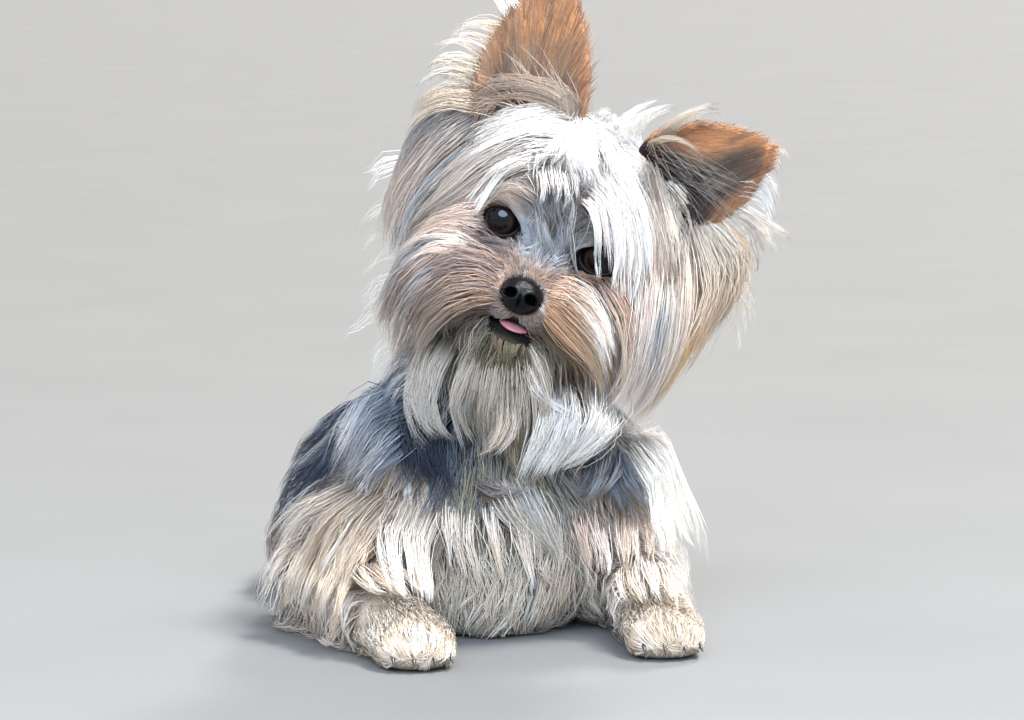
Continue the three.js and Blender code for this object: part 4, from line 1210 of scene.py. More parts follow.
# right brow
family("coat_locks_face", [(-8.5, -35.5, 5.5), (-15, -40, 10.5), (-21, -38, 11), (-26, -36, 8.5), (-28.5, -34.5, 4)],
       [(-9.5, -33, 12), (-16.5, -37, 15.5), (-23, -35, 14.5), (-28.5, -34, 10.5), (-31.5, -33.5, 4)],
       5, 20, (1.9, 1.9, 0.9), 0.27, [BROWN, SLATE, ROSE_TAN], [ROSE_TAN, LILAC, PALE_TAN], hold=2, tone=0.75, steps=4)
# moustache, right, darkened as painted shade near the corner of the mouth
family("coat_locks_face", [(-14, -47, -18), (-24, -45, -17), (-35, -44.5, -21), (-42.5, -44.5, -30), (-47, -37, -44.5), (-49, -16, -62)],
       [(-11.5, -62.5, -27.5), (-20.5, -58, -33), (-27, -55, -41.5), (-31.5, -42, -54.5), (-32.5, -32, -66.5), (-31.5, -27, -78)],
       15, 32, (3.2, 2.8, 1.2), 0.33, [ROSE_BROWN, ROSE_TAN, SLATE, TAN], [ROSE_TAN, LILAC, ROSE_BROWN, CREAM], hold=5, tone=0.62, steps=5)
# shade in the right corner of the mouth
family("coat_locks_face", [(-10.5, -60.5, -32), (-16.5, -56.5, -34), (-22.5, -53.5, -37.5), (-26, -51, -43), (-28.5, -35.5, -53)],
       [(-11, -55, -36.5), (-16.5, -53.5, -39.5), (-22, -51, -43.5), (-26.5, -39.5, -52), (-29, -17.5, -63.5)],
       3, 22, (1.6, 1.8, 1.0), 0.32, [DARK_BROWN, BROWN], [BROWN, SLATE], hold=3, steps=4)
# moustache, left, bright
family("coat_locks_face", [(10, -49, -14.5), (19, -47.5, -13.5), (28.5, -47, -17), (36, -48, -23), (42.5, -48, -30.5)],
       [(9, -59, -18), (19.5, -55.5, -20.5), (30, -53, -25.5), (38, -52, -32.5), (45, -47.5, -41.5)],
       9, 36, (3.0, 2.6, 0.8), 0.33, [TAN, BROWN, ORANGE_TAN], [WHITE, WHITE, CREAM], hold=5, tone=1.06, steps=5)
# moustache, left, warm
family("coat_locks_face", [(9.5, -57.5, -18), (20, -55, -21), (30.5, -53, -27), (38.5, -51.5, -34.5), (45, -45.5, -44.5)],
       [(9.5, -63.5, -26), (19, -59.5, -31), (28.5, -56.5, -36), (37.5, -52.5, -42.5), (44.5, -44.5, -53)],
       10, 34, (3.0, 2.8, 1.2), 0.33, [ORANGE_TAN, TAN, ORANGE_TAN], [PALE_TAN, TAN, CREAM], hold=5, tone=0.63, steps=5)
# shade under the left moustache
family("coat_locks_face", [(11.5, -55.5, -35.5), (18, -55.5, -37.5), (25, -53.5, -43), (31.5, -49, -52)],
       [(13.5, -31.5, -38.5), (21, -55, -36.5), (28.5, -52.5, -42), (35.5, -47, -51)],
       3, 24, (1.7, 2.2, 1.4), 0.33, [DARK_BROWN, BROWN, DARK_OLIVE], [DARK_OLIVE, BROWN], hold=3, steps=4)
# rose streak
family("coat_locks_side", [(26, -31.5, -12), (33.5, -37, -13.5), (40, -38.5, -19.5), (45.5, -40.5, -28.5), (49.5, -39, -40.5), (51, -37, -53.5)],
       [(31, -24.5, -13), (39, -36, -14.5), (45.5, -36.5, -22), (50.5, -36.5, -31.5), (54, -34, -43), (55.5, -30, -56)],
       5, 34, (3.0, 2.8, 1.5), 0.34, [ROSE_BROWN, BROWN, ROSE_TAN], [ROSE_TAN, ROSE_BROWN, PALE_TAN], hold=4, tone=0.9, steps=5)
# left cheek, pale
family("coat_locks_side", [(38.5, -4, 8.5), (45, -29.5, 2), (49, -33.5, -9), (52.5, -35, -21), (55.5, -34, -33.5), (57.5, -32.5, -46.5), (55.5, -30.5, -59)],
       [(39.5, -10, -6.5), (44.5, -35, -11), (47.5, -37.5, -21), (50, -39, -31), (52, -38.5, -43), (51.5, -38, -54.5), (49, -38.5, -65)],
       8, 36, (3.2, 3.0, 1.4), 0.35, [WHITE, CREAM, ROSE_TAN], [CREAM, WHITE, ROSE_TAN], hold=4, tone=0.85)
# slate streak
family("coat_locks_side", [(47.5, -6, -1), (51.5, -31.5, -6.5), (54.5, -33.5, -17), (57, -33.5, -28.5), (59.5, -30.5, -40.5), (60.5, -26.5, -52)],
       [(50.5, -9.5, -15.5), (53, -34.5, -18), (54, -35, -25.5), (56, -34.5, -34), (58, -32, -43.5), (59, -28.5, -54)],
       4, 30, (2.0, 2.0, 1.1), 0.35, [SLATE, BLUE_GREY], [BLUE_GREY, SILVER], hold=4, steps=5)
# left cheek, beneath
family("coat_locks_side", [(59, -4, -15.5), (61.5, -24.5, -23), (62, -25.5, -33), (61.5, -27.5, -42.5), (59.5, -31, -52), (55.5, -35, -60.5)],
       [(47.5, -10.5, -25.5), (49, -36, -31), (50, -37, -40.5), (50, -39.5, -49), (47.5, -42.5, -57), (44, -46.5, -64.5)],
       9, 36, (3.4, 3.4, 1.8), 0.38, [CREAM, ROSE_TAN, PALE_TAN], [CREAM, WHITE, ROSE_TAN], hold=0, tone=0.85, steps=5)
# left cheek, middle
family("coat_locks_side", [(46.5, 2, 14.5), (54.5, -17, 7.5), (60.5, -21.5, -3.5), (64, -23.5, -16.5), (65, -23.5, -29.5), (64.5, -21, -45), (61.5, -20, -61), (54.5, -23.5, -72.5)],
       [(45, -2.5, 5.5), (52, -28, -2), (57, -30.5, -13.5), (60, -30, -27), (61.5, -28, -39.5), (60.5, -27.5, -52.5), (56, -29.5, -64.5), (49, -34.5, -76)],
       13, 38, (3.4, 3.2, 1.6), 0.36, [CREAM, WHITE, PALE_TAN, ROSE_TAN], [CREAM, WHITE, PALE_TAN], hold=4, tone=0.86, steps=7)
# left cheek, outer
family("coat_locks_side", [(59.5, 2.5, 24.5), (69.5, 4.5, 21.5), (77, 9.5, 14), (79.5, 12, 3), (78.5, 10.5, -8), (76, 5, -19), (72, -4, -29)],
       [(52.5, 3.5, 14), (61.5, -9, 8), (67.5, -11, -2.5), (69, -14.5, -14.5), (68, -19.5, -26.5), (66.5, -19.5, -41), (64, -11.5, -56.5)],
       13, 38, (3.4, 3.2, 1.5), 0.36, [CREAM, PALE_TAN, WHITE, GOLD], [CREAM, PALE_TAN, GOLD], hold=8, tone=0.92)
# gold edge
family("coat_locks_side", [(68.5, 0, -5.5), (70.5, -7, -16), (70, -15, -26.5), (68.5, -17.5, -38.5), (66.5, -15.5, -50.5), (63.5, -5, -63.5)],
       [(64.5, -9.5, -7), (66.5, -18.5, -16.5), (65.5, -23.5, -26.5), (64.5, -24.5, -39.5), (63, -23.5, -51.5), (60, -19.5, -63.5)],
       6, 34, (2.8, 2.4, 1.2), 0.35, [GOLD, ORANGE_TAN, GOLD], [GOLD, PALE_TAN, GOLD], hold=6, steps=5)
# fringe of the left ear, high
family("coat_locks_ear", [(62, -2, 47.5), (67, -3, 51.5), (73, -3, 51), (78.5, -3, 47.5), (82.5, -3, 42)],
       [(65.5, -0.5, 39), (70, -1, 41), (75.5, -1.5, 39.5), (79.5, -2, 36), (83.5, -3.5, 31)],
       7, 22, (2.0, 1.8, 0.6), 0.28, [SILVER, WHITE, LILAC], [WHITE, WHITE, SILVER], hold=0, tone=0.8, steps=5)
# fringe, low
family("coat_locks_ear", [(66, -0, 34.5), (72.5, -1, 34.5), (79, -2.5, 33), (85, -4.5, 31.5), (90.5, -5, 29.5)],
       [(62.5, 1.5, 28.5), (70, -0, 27.5), (76.5, -2.5, 23.5), (81.5, -2, 17), (84, 0.5, 8.5)],
       7, 24, (2.2, 2.0, 0.6), 0.28, [CREAM, WHITE], [WHITE, CREAM, CREAM], hold=0, tone=0.74, steps=5)
# fringe on top of the left ear
family("coat_locks_ear", [(22.5, -1, 45.5), (25.5, -23.5, 57), (31.5, -25, 65), (38.5, -24, 71), (47, -20.5, 73.5)],
       [(24.5, 4, 42), (29, -18, 54), (35.5, -19.5, 62.5), (43, -19, 68), (52, -17, 71)],
       5, 14, (1.6, 1.4, 0.5), 0.24, [CREAM, PALE_TAN], [WHITE, CREAM], hold=0, tone=0.85, steps=5)
# tip wisps
family("coat_locks_ear", [(67.5, -9, 63.5), (71.5, -9, 65.5), (76.5, -7.5, 64.5), (81.5, -6, 61.5)],
       [(67, -7, 59.5), (71.5, -6.5, 58.5), (75, -5, 55.5), (77, -3, 50.5)],
       3, 12, (1.2, 1.2, 0.5), 0.25, [CREAM, ORANGE_TAN], [WHITE, CREAM], hold=0, steps=4)
# wisps before the left ear
family("coat_locks_ear", [(7, -13, 42.5), (8.5, -14.5, 49), (11.5, -20.5, 56), (15.5, -21, 61.5), (21, -21.5, 67)],
       [(15, -4.5, 43), (16, -9, 49.5), (19, -19.5, 57.5), (24.5, -20.5, 63.5), (32.5, -22, 68.5)],
       6, 18, (1.8, 1.5, 0.7), 0.27, [WHITE], [WHITE], hold=0, steps=5)
# grey hair across the left ear
family("coat_locks_ear", [(23, 9.5, 40), (33.5, -14, 44.5), (44, -8.5, 40), (53, -4.5, 32.5), (60, -3, 23.5)],
       [(35, -6.5, 29), (41, -4.5, 25), (47, -3, 20.5), (52.5, -2.5, 16), (57, -2.5, 11.5)],
       4, 10, (1.8, 2.2, 1.2), 0.23, [SLATE, BROWN, BROWN], [SILVER, SLATE, BROWN], hold=0, tone=0.28, steps=5)
# pale arc on the left ear
family("coat_locks_ear", [(21, -2.5, 41.5), (26.5, -25, 51.5), (35, -19.5, 53), (44, -13, 49), (52, -7, 42.5)],
       [(19.5, -4.5, 44), (26, -27.5, 53), (35, -21.5, 55.5), (45, -14.5, 51.5), (53.5, -8, 44)],
       2, 18, (1.1, 1.0, 0.4), 0.26, [CREAM, PALE_TAN], [WHITE, CREAM], hold=0, jitter=0.4, tone=0.8, steps=5)
# chin: dark olive, partly its own colour and partly painted shade under the mouth
family("coat_locks_face", [(-9, -56.5, -42.5), (-10, -51.5, -49.5), (-11, -48, -57.5), (-12, -46, -66.5)],
       [(11.5, -54.5, -39.5), (15, -54, -43.5), (19.5, -53.5, -49), (23.5, -52, -55.5)],
       17, 26, (2.8, 2.5, 1.3), 0.28, [DARK_OLIVE, DARK_OLIVE, OLIVE_TAN], [OLIVE_TAN, DARK_OLIVE, OLIVE_TAN, CREAM], hold=2, jitter=2.2, tone=0.5, steps=4)
# dark hair at the left mouth corner, partly dark lip hair and partly painted shade along the mouth line
family("coat_locks_face", [(5.5, -59.5, -35.5), (10, -57, -38), (14.5, -55.5, -41)],
       [(8.5, -62.5, -31), (13.5, -59, -33.5), (18, -56, -37)],
       5, 20, (1.5, 1.7, 0.8), 0.25, [DARK_BROWN, DARK_OLIVE, BROWN], [DARK_OLIVE, BROWN], hold=0, jitter=0.6, tone=0.8, steps=3)
# short hair under the lip, right, partly painted shade under the mouth
family("coat_locks_face", [(-10.5, -52, -39.5), (-12.5, -51, -44.5), (-13, -48.5, -50.5)],
       [(0.5, -60.5, -39.5), (1, -55, -44.5), (1.5, -51.5, -50)],
       9, 18, (1.5, 1.7, 0.9), 0.24, [DARK_OLIVE, SLATE, BROWN], [DARK_OLIVE, OLIVE_TAN, SLATE], hold=0, jitter=0.5, tone=0.75, steps=3)
# short hair under the lip, left, partly painted shade under the mouth
family("coat_locks_face", [(1.5, -60, -39.5), (2.5, -55, -44), (3, -52, -49)],
       [(11.5, -51.5, -37.5), (15.5, -54.5, -39), (19.5, -54.5, -43)],
       9, 18, (1.5, 1.7, 0.9), 0.24, [DARK_OLIVE, SLATE, BROWN], [DARK_OLIVE, OLIVE_TAN, SLATE], hold=0, jitter=0.5, tone=0.75, steps=3)
# wisps outside the right cheek
family("coat_locks_ear", [(-71.5, 10.5, -2), (-76, 9.5, -5.5), (-79, 9.5, -11), (-80, 10.5, -18)],
       [(-54.5, -8.5, -56.5), (-58, -10, -63), (-61, -10.5, -70), (-63, -10, -77)],
       10, 9, (2.2, 2.2, 1.2), 0.24, [CREAM, WHITE], [WHITE, WHITE, CREAM], hold=0, jitter=2, steps=5)
# wisps outside the left cheek
family("coat_locks_ear", [(72.5, 14, 19.5), (79, 13.5, 17), (84, 13.5, 11.5), (86.5, 14.5, 6)],
       [(76.5, 12.5, -11.5), (82.5, 12, -13.5), (86.5, 12, -18), (87, 13, -24.5)],
       8, 9, (2.0, 2.0, 1.1), 0.24, [CREAM, GOLD], [WHITE, CREAM], hold=0, jitter=2, steps=5)
# wisps below the right cheek
family("coat_locks_ear", [(-48, -8.5, -67.5), (-50, -10.5, -74.5), (-52, -11.5, -80.5), (-52, -13, -87)],
       [(-33, -21, -78), (-34, -22.5, -85.5), (-34, -24, -92.5), (-32, -25.5, -99)],
       6, 12, (2.2, 2.0, 1.0), 0.26, [CREAM, SILVER], [WHITE, SILVER], hold=0, jitter=2, steps=5)
# beard, right side
family("coat_locks_beard", [(-30.5, 7, -62), (-32.5, -18.5, -68.5), (-32, -28.5, -78.5), (-28.5, -39, -87.5), (-22, -47.5, -94), (-13.5, -50.5, -97.5)],
       [(-18.5, -14.5, -57), (-21.5, -40.5, -62.5), (-22, -40, -73.5), (-19.5, -42.5, -84), (-13.5, -46.5, -91.5), (-5.5, -47.5, -94)],
       10, 34, (3.2, 2.8, 1.2), 0.35, [LILAC, CREAM, SILVER], [LILAC, SILVER, CREAM], hold=5, tone=0.68, steps=5)
# beard, middle
family("coat_locks_beard", [(-12, -21, -56.5), (-12.5, -46.5, -61), (-12.5, -45.5, -71.5), (-11, -45, -80.5), (-5, -45, -89), (1, -46, -94.5)],
       [(12.5, -55.5, -43), (17.5, -54.5, -50.5), (23, -52.5, -59.5), (27.5, -50.5, -69), (29, -47, -80), (28, -42, -90)],
       15, 34, (3.2, 2.8, 1.1), 0.35, [OLIVE_TAN, CREAM, CREAM], [CREAM, CREAM, SILVER], hold=5, tone=0.72, steps=5)
# white beard locks
family("coat_locks_beard", [(1.5, -47, -66), (6.5, -50.5, -71.5), (8, -49.5, -80), (6, -48, -88.5), (0.5, -47, -95)],
       [(8.5, -48.5, -64.5), (15, -51, -71.5), (17, -49.5, -80.5), (15.5, -47, -89.5), (10.5, -44.5, -97)],
       5, 30, (2.4, 2.4, 1.2), 0.33, [WHITE, CREAM], [WHITE, CREAM], hold=6, steps=5)
# beard, under the left moustache
family("coat_locks_beard", [(29.5, -21.5, -55), (37, -47, -60), (38.5, -45, -72.5), (36.5, -42, -84.5), (35.5, -38.5, -96)],
       [(19, -25, -61), (25.5, -50.5, -65), (26.5, -48.5, -77), (24.5, -45.5, -87.5), (24.5, -42.5, -99)],
       11, 34, (3.2, 3.0, 1.8), 0.35, [WHITE, CREAM, SILVER], [WHITE, WHITE, WHITE], hold=6, tone=1, steps=5)
# beard, sweep from the left cheek
family("coat_locks_beard", [(48, -9, -54), (52.5, -34.5, -60), (50, -36, -71), (44.5, -38, -81.5), (36.5, -37.5, -92)],
       [(37, -18, -52.5), (43, -43.5, -58), (43.5, -43, -69), (39.5, -43, -79.5), (32.5, -40.5, -90.5)],
       9, 34, (3.2, 2.8, 1.2), 0.35, [CREAM, WHITE, PALE_TAN], [WHITE, WHITE, CREAM], hold=6, tone=0.88, steps=5)
# thin pale lock
family("coat_locks_beard", [(11, -53.5, -49), (17, -54, -54.5), (25, -53.5, -59.5), (33.5, -51, -62), (41, -47.5, -62.5)],
       [(10.5, -53, -52), (16.5, -53.5, -58.5), (24.5, -52.5, -63), (32.5, -51, -65.5), (38.5, -48, -66.5)],
       2, 16, (1.0, 0.9, 0.3), 0.3, [WHITE, ROSE_TAN], [WHITE, WHITE], hold=6, jitter=0.5, steps=5)
# neck, blue hair behind the right cheek
family("coat_locks_dark", [(-32, 43, 105), (-48, 21.5, 100.5), (-59.5, 12, 91.5), (-66.5, 8.5, 80.5), (-70.5, 8.5, 67.5)],
       [(-34.5, 6, 85), (-46, -11, 81.5), (-53, -11, 76), (-58, -9.5, 68.5), (-62, -4.5, 60)],
       11, 34, (4.4, 4.0, 1.8), 0.36, [STEEL, BLUE_GREY, STEEL, BLUE_GREY], [BLUE_GREY, SLATE, SILVER], tone=1.25, body=True, hold=4, steps=5)
# right shoulder's dark edge
family("coat_locks_dark", [(-52, 35.5, 93), (-65, 12.5, 86), (-72, 18.5, 74.5), (-78.5, 23.5, 62.5), (-84.5, 27, 49.5)],
       [(-54.5, 26.5, 82.5), (-65.5, 3.5, 78), (-69.5, 7.5, 70), (-73.5, 11, 63), (-76.5, 14, 55.5)],
       7, 34, (3.6, 3.2, 1.3), 0.38, [NIGHT, NIGHT, STEEL], [NIGHT, STEEL, NIGHT], body=True, hold=4, steps=5)
# right arm
family("coat_locks_body", [(-56.5, 18, 64), (-71.5, 8, 62), (-80.5, 18.5, 55.5), (-88.5, 27, 45.5), (-95, 33.5, 33)],
       [(-39.5, 0.5, 60), (-52, -10.5, 51), (-62, -20.5, 42), (-70.5, -33, 32), (-76, -38, 21)],
       13, 34, (3.6, 3.2, 1.0), 0.37, [CREAM, PALE_TAN, ROSE_TAN, CREAM], [WHITE, CREAM, PALE_TAN], hold=5, tone=0.6, body=True, steps=5)
# right arm, warm painted shade
family("coat_locks_body", [(-50.5, 8.5, 55), (-60.5, -5, 50.5), (-65, -7.5, 44.5), (-69, -10.5, 38.5)],
       [(-42, 7.5, 49), (-53, -10.5, 44.5), (-60, -22.5, 40), (-65.5, -34.5, 35.5)],
       4, 28, (2.8, 2.6, 1.0), 0.36, [ROSE_BROWN, TAN, ROSE_TAN], [ROSE_TAN, CREAM, PALE_TAN], hold=4, body=True, steps=4)
# right arm, lower
family("coat_locks_body", [(-71.5, 39.5, 43), (-86, 16.5, 35.5), (-92, 21.5, 22), (-94, 33, 9.5)],
       [(-63.5, -10.5, 36.5), (-72, -34.5, 29), (-75.5, -39, 18.5), (-77, -37, 8.5)],
       8, 32, (3.4, 3.0, 1.0), 0.37, [CREAM, PALE_TAN, CREAM], [WHITE, CREAM, PALE_TAN], hold=5, tone=0.7, body=True, steps=4)
# breast, right
family("coat_locks_body", [(-41, 0.5, 60), (-51, -11, 51), (-55.5, -26.5, 42), (-57, -45.5, 33.5), (-59, -65, 26)],
       [(-22, -4, 59), (-30.5, -18, 50.5), (-35.5, -27.5, 40.5), (-39, -45.5, 32), (-43.5, -69.5, 26)],
       7, 34, (3.4, 3.0, 1.0), 0.36, [CREAM, PALE_TAN, LILAC], [WHITE, WHITE, CREAM], hold=5, tone=0.88, body=True, steps=5)
# dark blue patch beside the beard
family("coat_locks_dark", [(-35, 14.5, 90.5), (-40, -10, 84), (-38.5, -14.5, 74.5), (-34.5, -17, 65.5)],
       [(-24.5, 10.5, 86.5), (-28.5, -13, 79.5), (-26, -16, 70), (-20.5, -18, 62.5)],
       9, 34, (4.2, 4.0, 2.0), 0.36, [NIGHT, NIGHT, STEEL], [NIGHT, STEEL, NIGHT], tone=0.6, body=True, hold=4, steps=4)
# breast, cream between
family("coat_locks_body", [(-20.5, -4.5, 60), (-25.5, -19, 51.5), (-24, -18, 39.5), (-21, -17, 27.5)],
       [(7.5, -11.5, 57), (4.5, -23, 48.5), (8, -23, 35.5), (12.5, -19.5, 22.5)],
       7, 32, (3.4, 3.0, 1.0), 0.37, [CREAM, PALE_TAN, WHITE], [WHITE, CREAM], hold=4, body=True, steps=5)
# wave between beard and breast, partly the coat's slate streaks and partly painted shade under the beard
family("coat_locks_body", [(-12, -4.5, 69.5), (-8.5, -20.5, 67), (-0.5, -22, 65.5), (8, -20.5, 66.5)],
       [(-11, -7.5, 65), (-7, -21.5, 61.5), (1, -23, 59.5), (11, -21, 62)],
       4, 26, (2.4, 2.2, 0.9), 0.34, [SLATE, BROWN, SLATE], [ROSE_TAN, SLATE, LILAC], hold=5, tone=0.7, body=True, steps=5)
# breast, middle
family("coat_locks_body", [(-6.5, -6.5, 70), (-5.5, -21, 61.5), (0, -23, 52.5), (7, -23.5, 44), (13.5, -22, 36)],
       [(13.5, -8, 66), (14.5, -21, 59.5), (19, -21.5, 51), (23, -20, 41.5), (26.5, -17.5, 31.5)],
       10, 34, (3.4, 3.0, 1.0), 0.36, [CREAM, PALE_TAN, BLUE_GREY, WHITE], [WHITE, CREAM, SILVER, WHITE], hold=5, tone=0.82, body=True, steps=5)
# streaks under the chin's left
family("coat_locks_dark", [(41, -0.5, 76.5), (34, -19, 71), (30.5, -21, 64.5), (26, -20.5, 58.5)],
       [(55, 6, 78), (48, -18, 71.5), (43, -19.5, 64), (36, -20, 57)],
       7, 32, (2.8, 2.4, 0.8), 0.36, [STEEL, BLUE_GREY, SLATE], [BLUE_GREY, SILVER, SLATE], tone=0.85, body=True, hold=4, steps=4)
# breast, left
family("coat_locks_body", [(32, -2, 57), (27.5, -19.5, 49.5), (31, -18, 39), (34, -16.5, 28)],
       [(67.5, 16, 52.5), (63, -9, 46), (58.5, -31, 39), (52, -52.5, 31)],
       8, 34, (3.4, 3.0, 1.0), 0.36, [PALE_TAN, ROSE_TAN, CREAM, TAN], [CREAM, ROSE_TAN, WHITE], hold=5, body=True, steps=4)
# left shoulder
family("coat_locks_body", [(71.5, 11.5, 89.5), (81, 12, 76.5), (91.5, 23, 58.5), (100.5, 29, 39), (105, 30, 20.5)],
       [(58.5, 12.5, 79.5), (59, -14, 71), (66, -14.5, 59), (66.5, -24.5, 46), (60.5, -44, 34.5)],
       15, 36, (3.6, 3.2, 1.1), 0.37, [CREAM, WHITE, SILVER, PALE_TAN], [WHITE, WHITE, CREAM], hold=5, body=True, steps=5)
# slate streaks on the left shoulder
family("coat_locks_dark", [(53, 8.5, 80), (52, -16.5, 75), (58.5, -14.5, 65), (68.5, -5, 55)],
       [(45, -1.5, 72.5), (45, -18.5, 64.5), (51, -16, 55.5), (55, -12.5, 46.5)],
       5, 24, (1.8, 1.7, 0.8), 0.35, [SLATE, STEEL], [BLUE_GREY, SLATE], hold=5, body=True, steps=4)
# right wrist
family("coat_locks_body", [(-64, -10.5, 36), (-66.5, -35, 33), (-64, -46.5, 29), (-60.5, -58, 26.5)],
       [(-49, -7.5, 40), (-49.5, -32.5, 37.5), (-48, -47, 33), (-47, -62.5, 29)],
       7, 26, (3.0, 2.6, 1.0), 0.36, [PALE_TAN, CREAM, ROSE_TAN], [WHITE, CREAM, PALE_TAN], hold=3, tone=0.85, body=True, steps=4)
# left wrist
family("coat_locks_body", [(48.5, -14, 32), (42, -38, 28.5), (41, -52, 23.5), (40.5, -65.5, 20.5)],
       [(67.5, -24.5, 35.5), (62.5, -49, 31), (58, -69, 26.5), (58, -74.5, 21)],
       7, 26, (3.0, 2.6, 1.0), 0.36, [PALE_TAN, CREAM, ROSE_TAN], [WHITE, CREAM, PALE_TAN], hold=3, tone=0.85, body=True, steps=4)


# ------------------------------------------------------------------ ears
def ear_group(name, side, where, n, comb_fn, length_fn, steps, width, colour_fn, lift=0.35, gravity=0.0, every=0, pull=0.5, stiff=1.0, flat=0.3):
    n = count(n)
    m = is_part["ear_" + side]
    t, crown, off, half = ear_coords(side, X, Y, Z)
    w = where(t, crown, off, half) * m
    if w.sum() <= 0:
        return
    f, p, nn = choose(w, n)
    h = to_head(p)
    t, crown, off, half = ear_coords(side, *h.T)
    base, along, front, across, length = ear_axes(side)
    out = across * (1 if side == "left" else -1)  # away from the crown
    r = rng.random((6, n))
    comb = dir_from_head(unit(comb_fn(t, crown, off, half, r, along, out, front)))
    pts = grow(p, nn, comb, length_fn(t, crown, half, r), steps, 0.5, lift=lift, gravity=gravity, stiff=stiff, free=True)
    mine = np.arange(n)
    if every:
        pts, mine = clump(pts, every, pull)
    pts[1:, :, 2] = np.maximum(pts[1:, :, 2], 0.5)
    if every:
        r[1] = lock_random(mine, n)
    root, tip = colour_fn(t, crown, off, half, r)
    root, tip = vary(root, tip, r[2], 0.0, 0.12)
    ok = clear_face(pts, 0.0, ears=False)
    k = np.nonzero(ok)[0]
    add(name, pts[:, ok], f[k], nn[k], root[ok], tip[ok], (width * (0.75 + 0.5 * r[3]))[ok], flat)


def ear_inner(t, c, h, lighter, side="right"):
    """The inside of an ear: dark in the hollow, tan towards the tip, brightest along the edge."""
    edge = ramp(np.abs(c) / np.maximum(h, 1), 0.45, 0.95)
    if side == "left":  # its hollow is darker, with a broad tan band along the outer edge
        col = mix(EAR_DARK * 0.42 + 0 * t[:, None], SLATE, 0.08 + 0 * t)
        col = mix(col, BROWN, ramp(t, 0.25, 0.7) * 0.7)
        col = mix(col, EAR_TAN * 1.5, np.maximum(ramp(t, 0.62, 0.9), ramp(c / np.maximum(h, 1), 0.15, 0.55) * ramp(t, 0.1, 0.3)))
    else:
        col = mix(EAR_DARK + 0 * t[:, None], BROWN, ramp(t, 0.1, 0.4) * 0.8)
        col = mix(col, EAR_TAN, ramp(t, 0.3, 0.75))
    col = mix(col, ORANGE_TAN * 1.25, edge * ramp(t, 0.1, 0.35) * 0.8)
    return mix(col, CREAM, lighter + 0 * t)


def ear_streaks(t, c, h, r, side):
    """The inner hair's colours, drawn out along the ear in streaks."""
    col = ear_inner(t, c, h, 0.0, side)
    s = noise3(np.stack([c * 1.0, t * 8, 0 * t], 1), 2.6, 17)
    dark, pale = ramp(s, 0.55, 0.85) * (1 - ramp(t, 0.7, 1.0)), ramp(0.45 - s, 0.0, 0.3)
    fair = 1.0 if side == "right" else 0.45
    col = mix(mix(col, EAR_DARK, 0.65 * dark), PALE_TAN, 0.35 * fair * pale)
    return col, mix(mix(col, BROWN, 0.2 * r[2]), CREAM, 0.28 * fair * r[0])


for side in EAR:
    # back of the ear: short and close, lying to the tip
    ear_group("coat_ear_" + side, side, lambda t, c, o, h: 1.0 * (o < 0) * (t > -0.1), 1020,
              lambda t, c, o, h, r, al, out, fr: al[None] + (r[4] - 0.5)[:, None] * out * 0.3,
              lambda t, c, h, r: (5 + 4 * r[5]) * (1 - 0.6 * ramp(np.abs(c) / np.maximum(h, 1), 0.7, 1.0)), 3, 0.5,
              lambda t, c, o, h, r: (mix(pick([STEEL, BROWN], [0.6, 0.4], r[1]), EAR_TAN, ramp(t, 0.05, 0.5)), mix(TAN + 0 * r[:3].T, EAR_TAN, 0.5 + 0 * t)), lift=0.08)
    # inside: fine, lying up the ear and fanning to its edges, in streaks
    ear_group("coat_ear_" + side, side, lambda t, c, o, h: 1.0 * (o > 0) * (t > 0.05), 2300,
              lambda t, c, o, h, r, al, out, fr: al[None] * 1.0 + out[None] * (c * (1 if side == "left" else -1) / 34)[:, None] * (1 - 1.3 * ramp(t, 0.55, 0.95))[:, None] + (r[4] - 0.5)[:, None] * out * 0.22,
              lambda t, c, h, r: (8 + 8 * r[5]) * (1 - 0.5 * ramp(t, 0.6, 1.0)) * (1 - 0.45 * ramp(np.abs(c) / np.maximum(h, 1), 0.6, 1.0)), 3, 0.27,
              lambda t, c, o, h, r: ear_streaks(t, c, h, r, side), lift=0.07)
    # rim: pale, bright, close to the edge
    ear_group("coat_ear_" + side, side, lambda t, c, o, h: 1.0 * (np.abs(c) > h - 2.6) * (t > 0.1), 800,
              lambda t, c, o, h, r, al, out, fr: al[None] * 1.3 + out[None] * (-np.sign(c) * (1 if side == "left" else 1) * 0.05)[:, None],
              lambda t, c, h, r: 3.0 + 3.0 * r[5], 3, 0.26,
              lambda t, c, o, h, r: (mix(ORANGE_TAN + 0 * r[:3].T, CREAM, 0.2 * r[1]), mix(CREAM + 0 * r[:3].T, ORANGE_TAN, 0.2 + 0.6 * r[0])), lift=0.06)
    # long pale hair from the inner base, crossing the hollow
    ear_group("coat_ear_long_" + side, side, lambda t, c, o, h: 1.0 * (o > 0) * bump(t, 0.02, 0.3, 0.05) * ramp(c, -6, 6), 70,
              lambda t, c, o, h, r, al, out, fr: al[None] * (0.1 + 1.1 * r[4])[:, None] + out[None] * (0.2 + 1.0 * r[5])[:, None] + fr[None] * (0.2 + 0.5 * r[1])[:, None],
              lambda t, c, h, r: 16 + 22 * r[0], 5, 0.24,
              lambda t, c, o, h, r: (pick([SILVER, CREAM, TAN], [0.3, 0.4, 0.3], r[1]), pick([WHITE, CREAM], [0.5, 0.5], r[0])), lift=0.5, gravity=0.05)


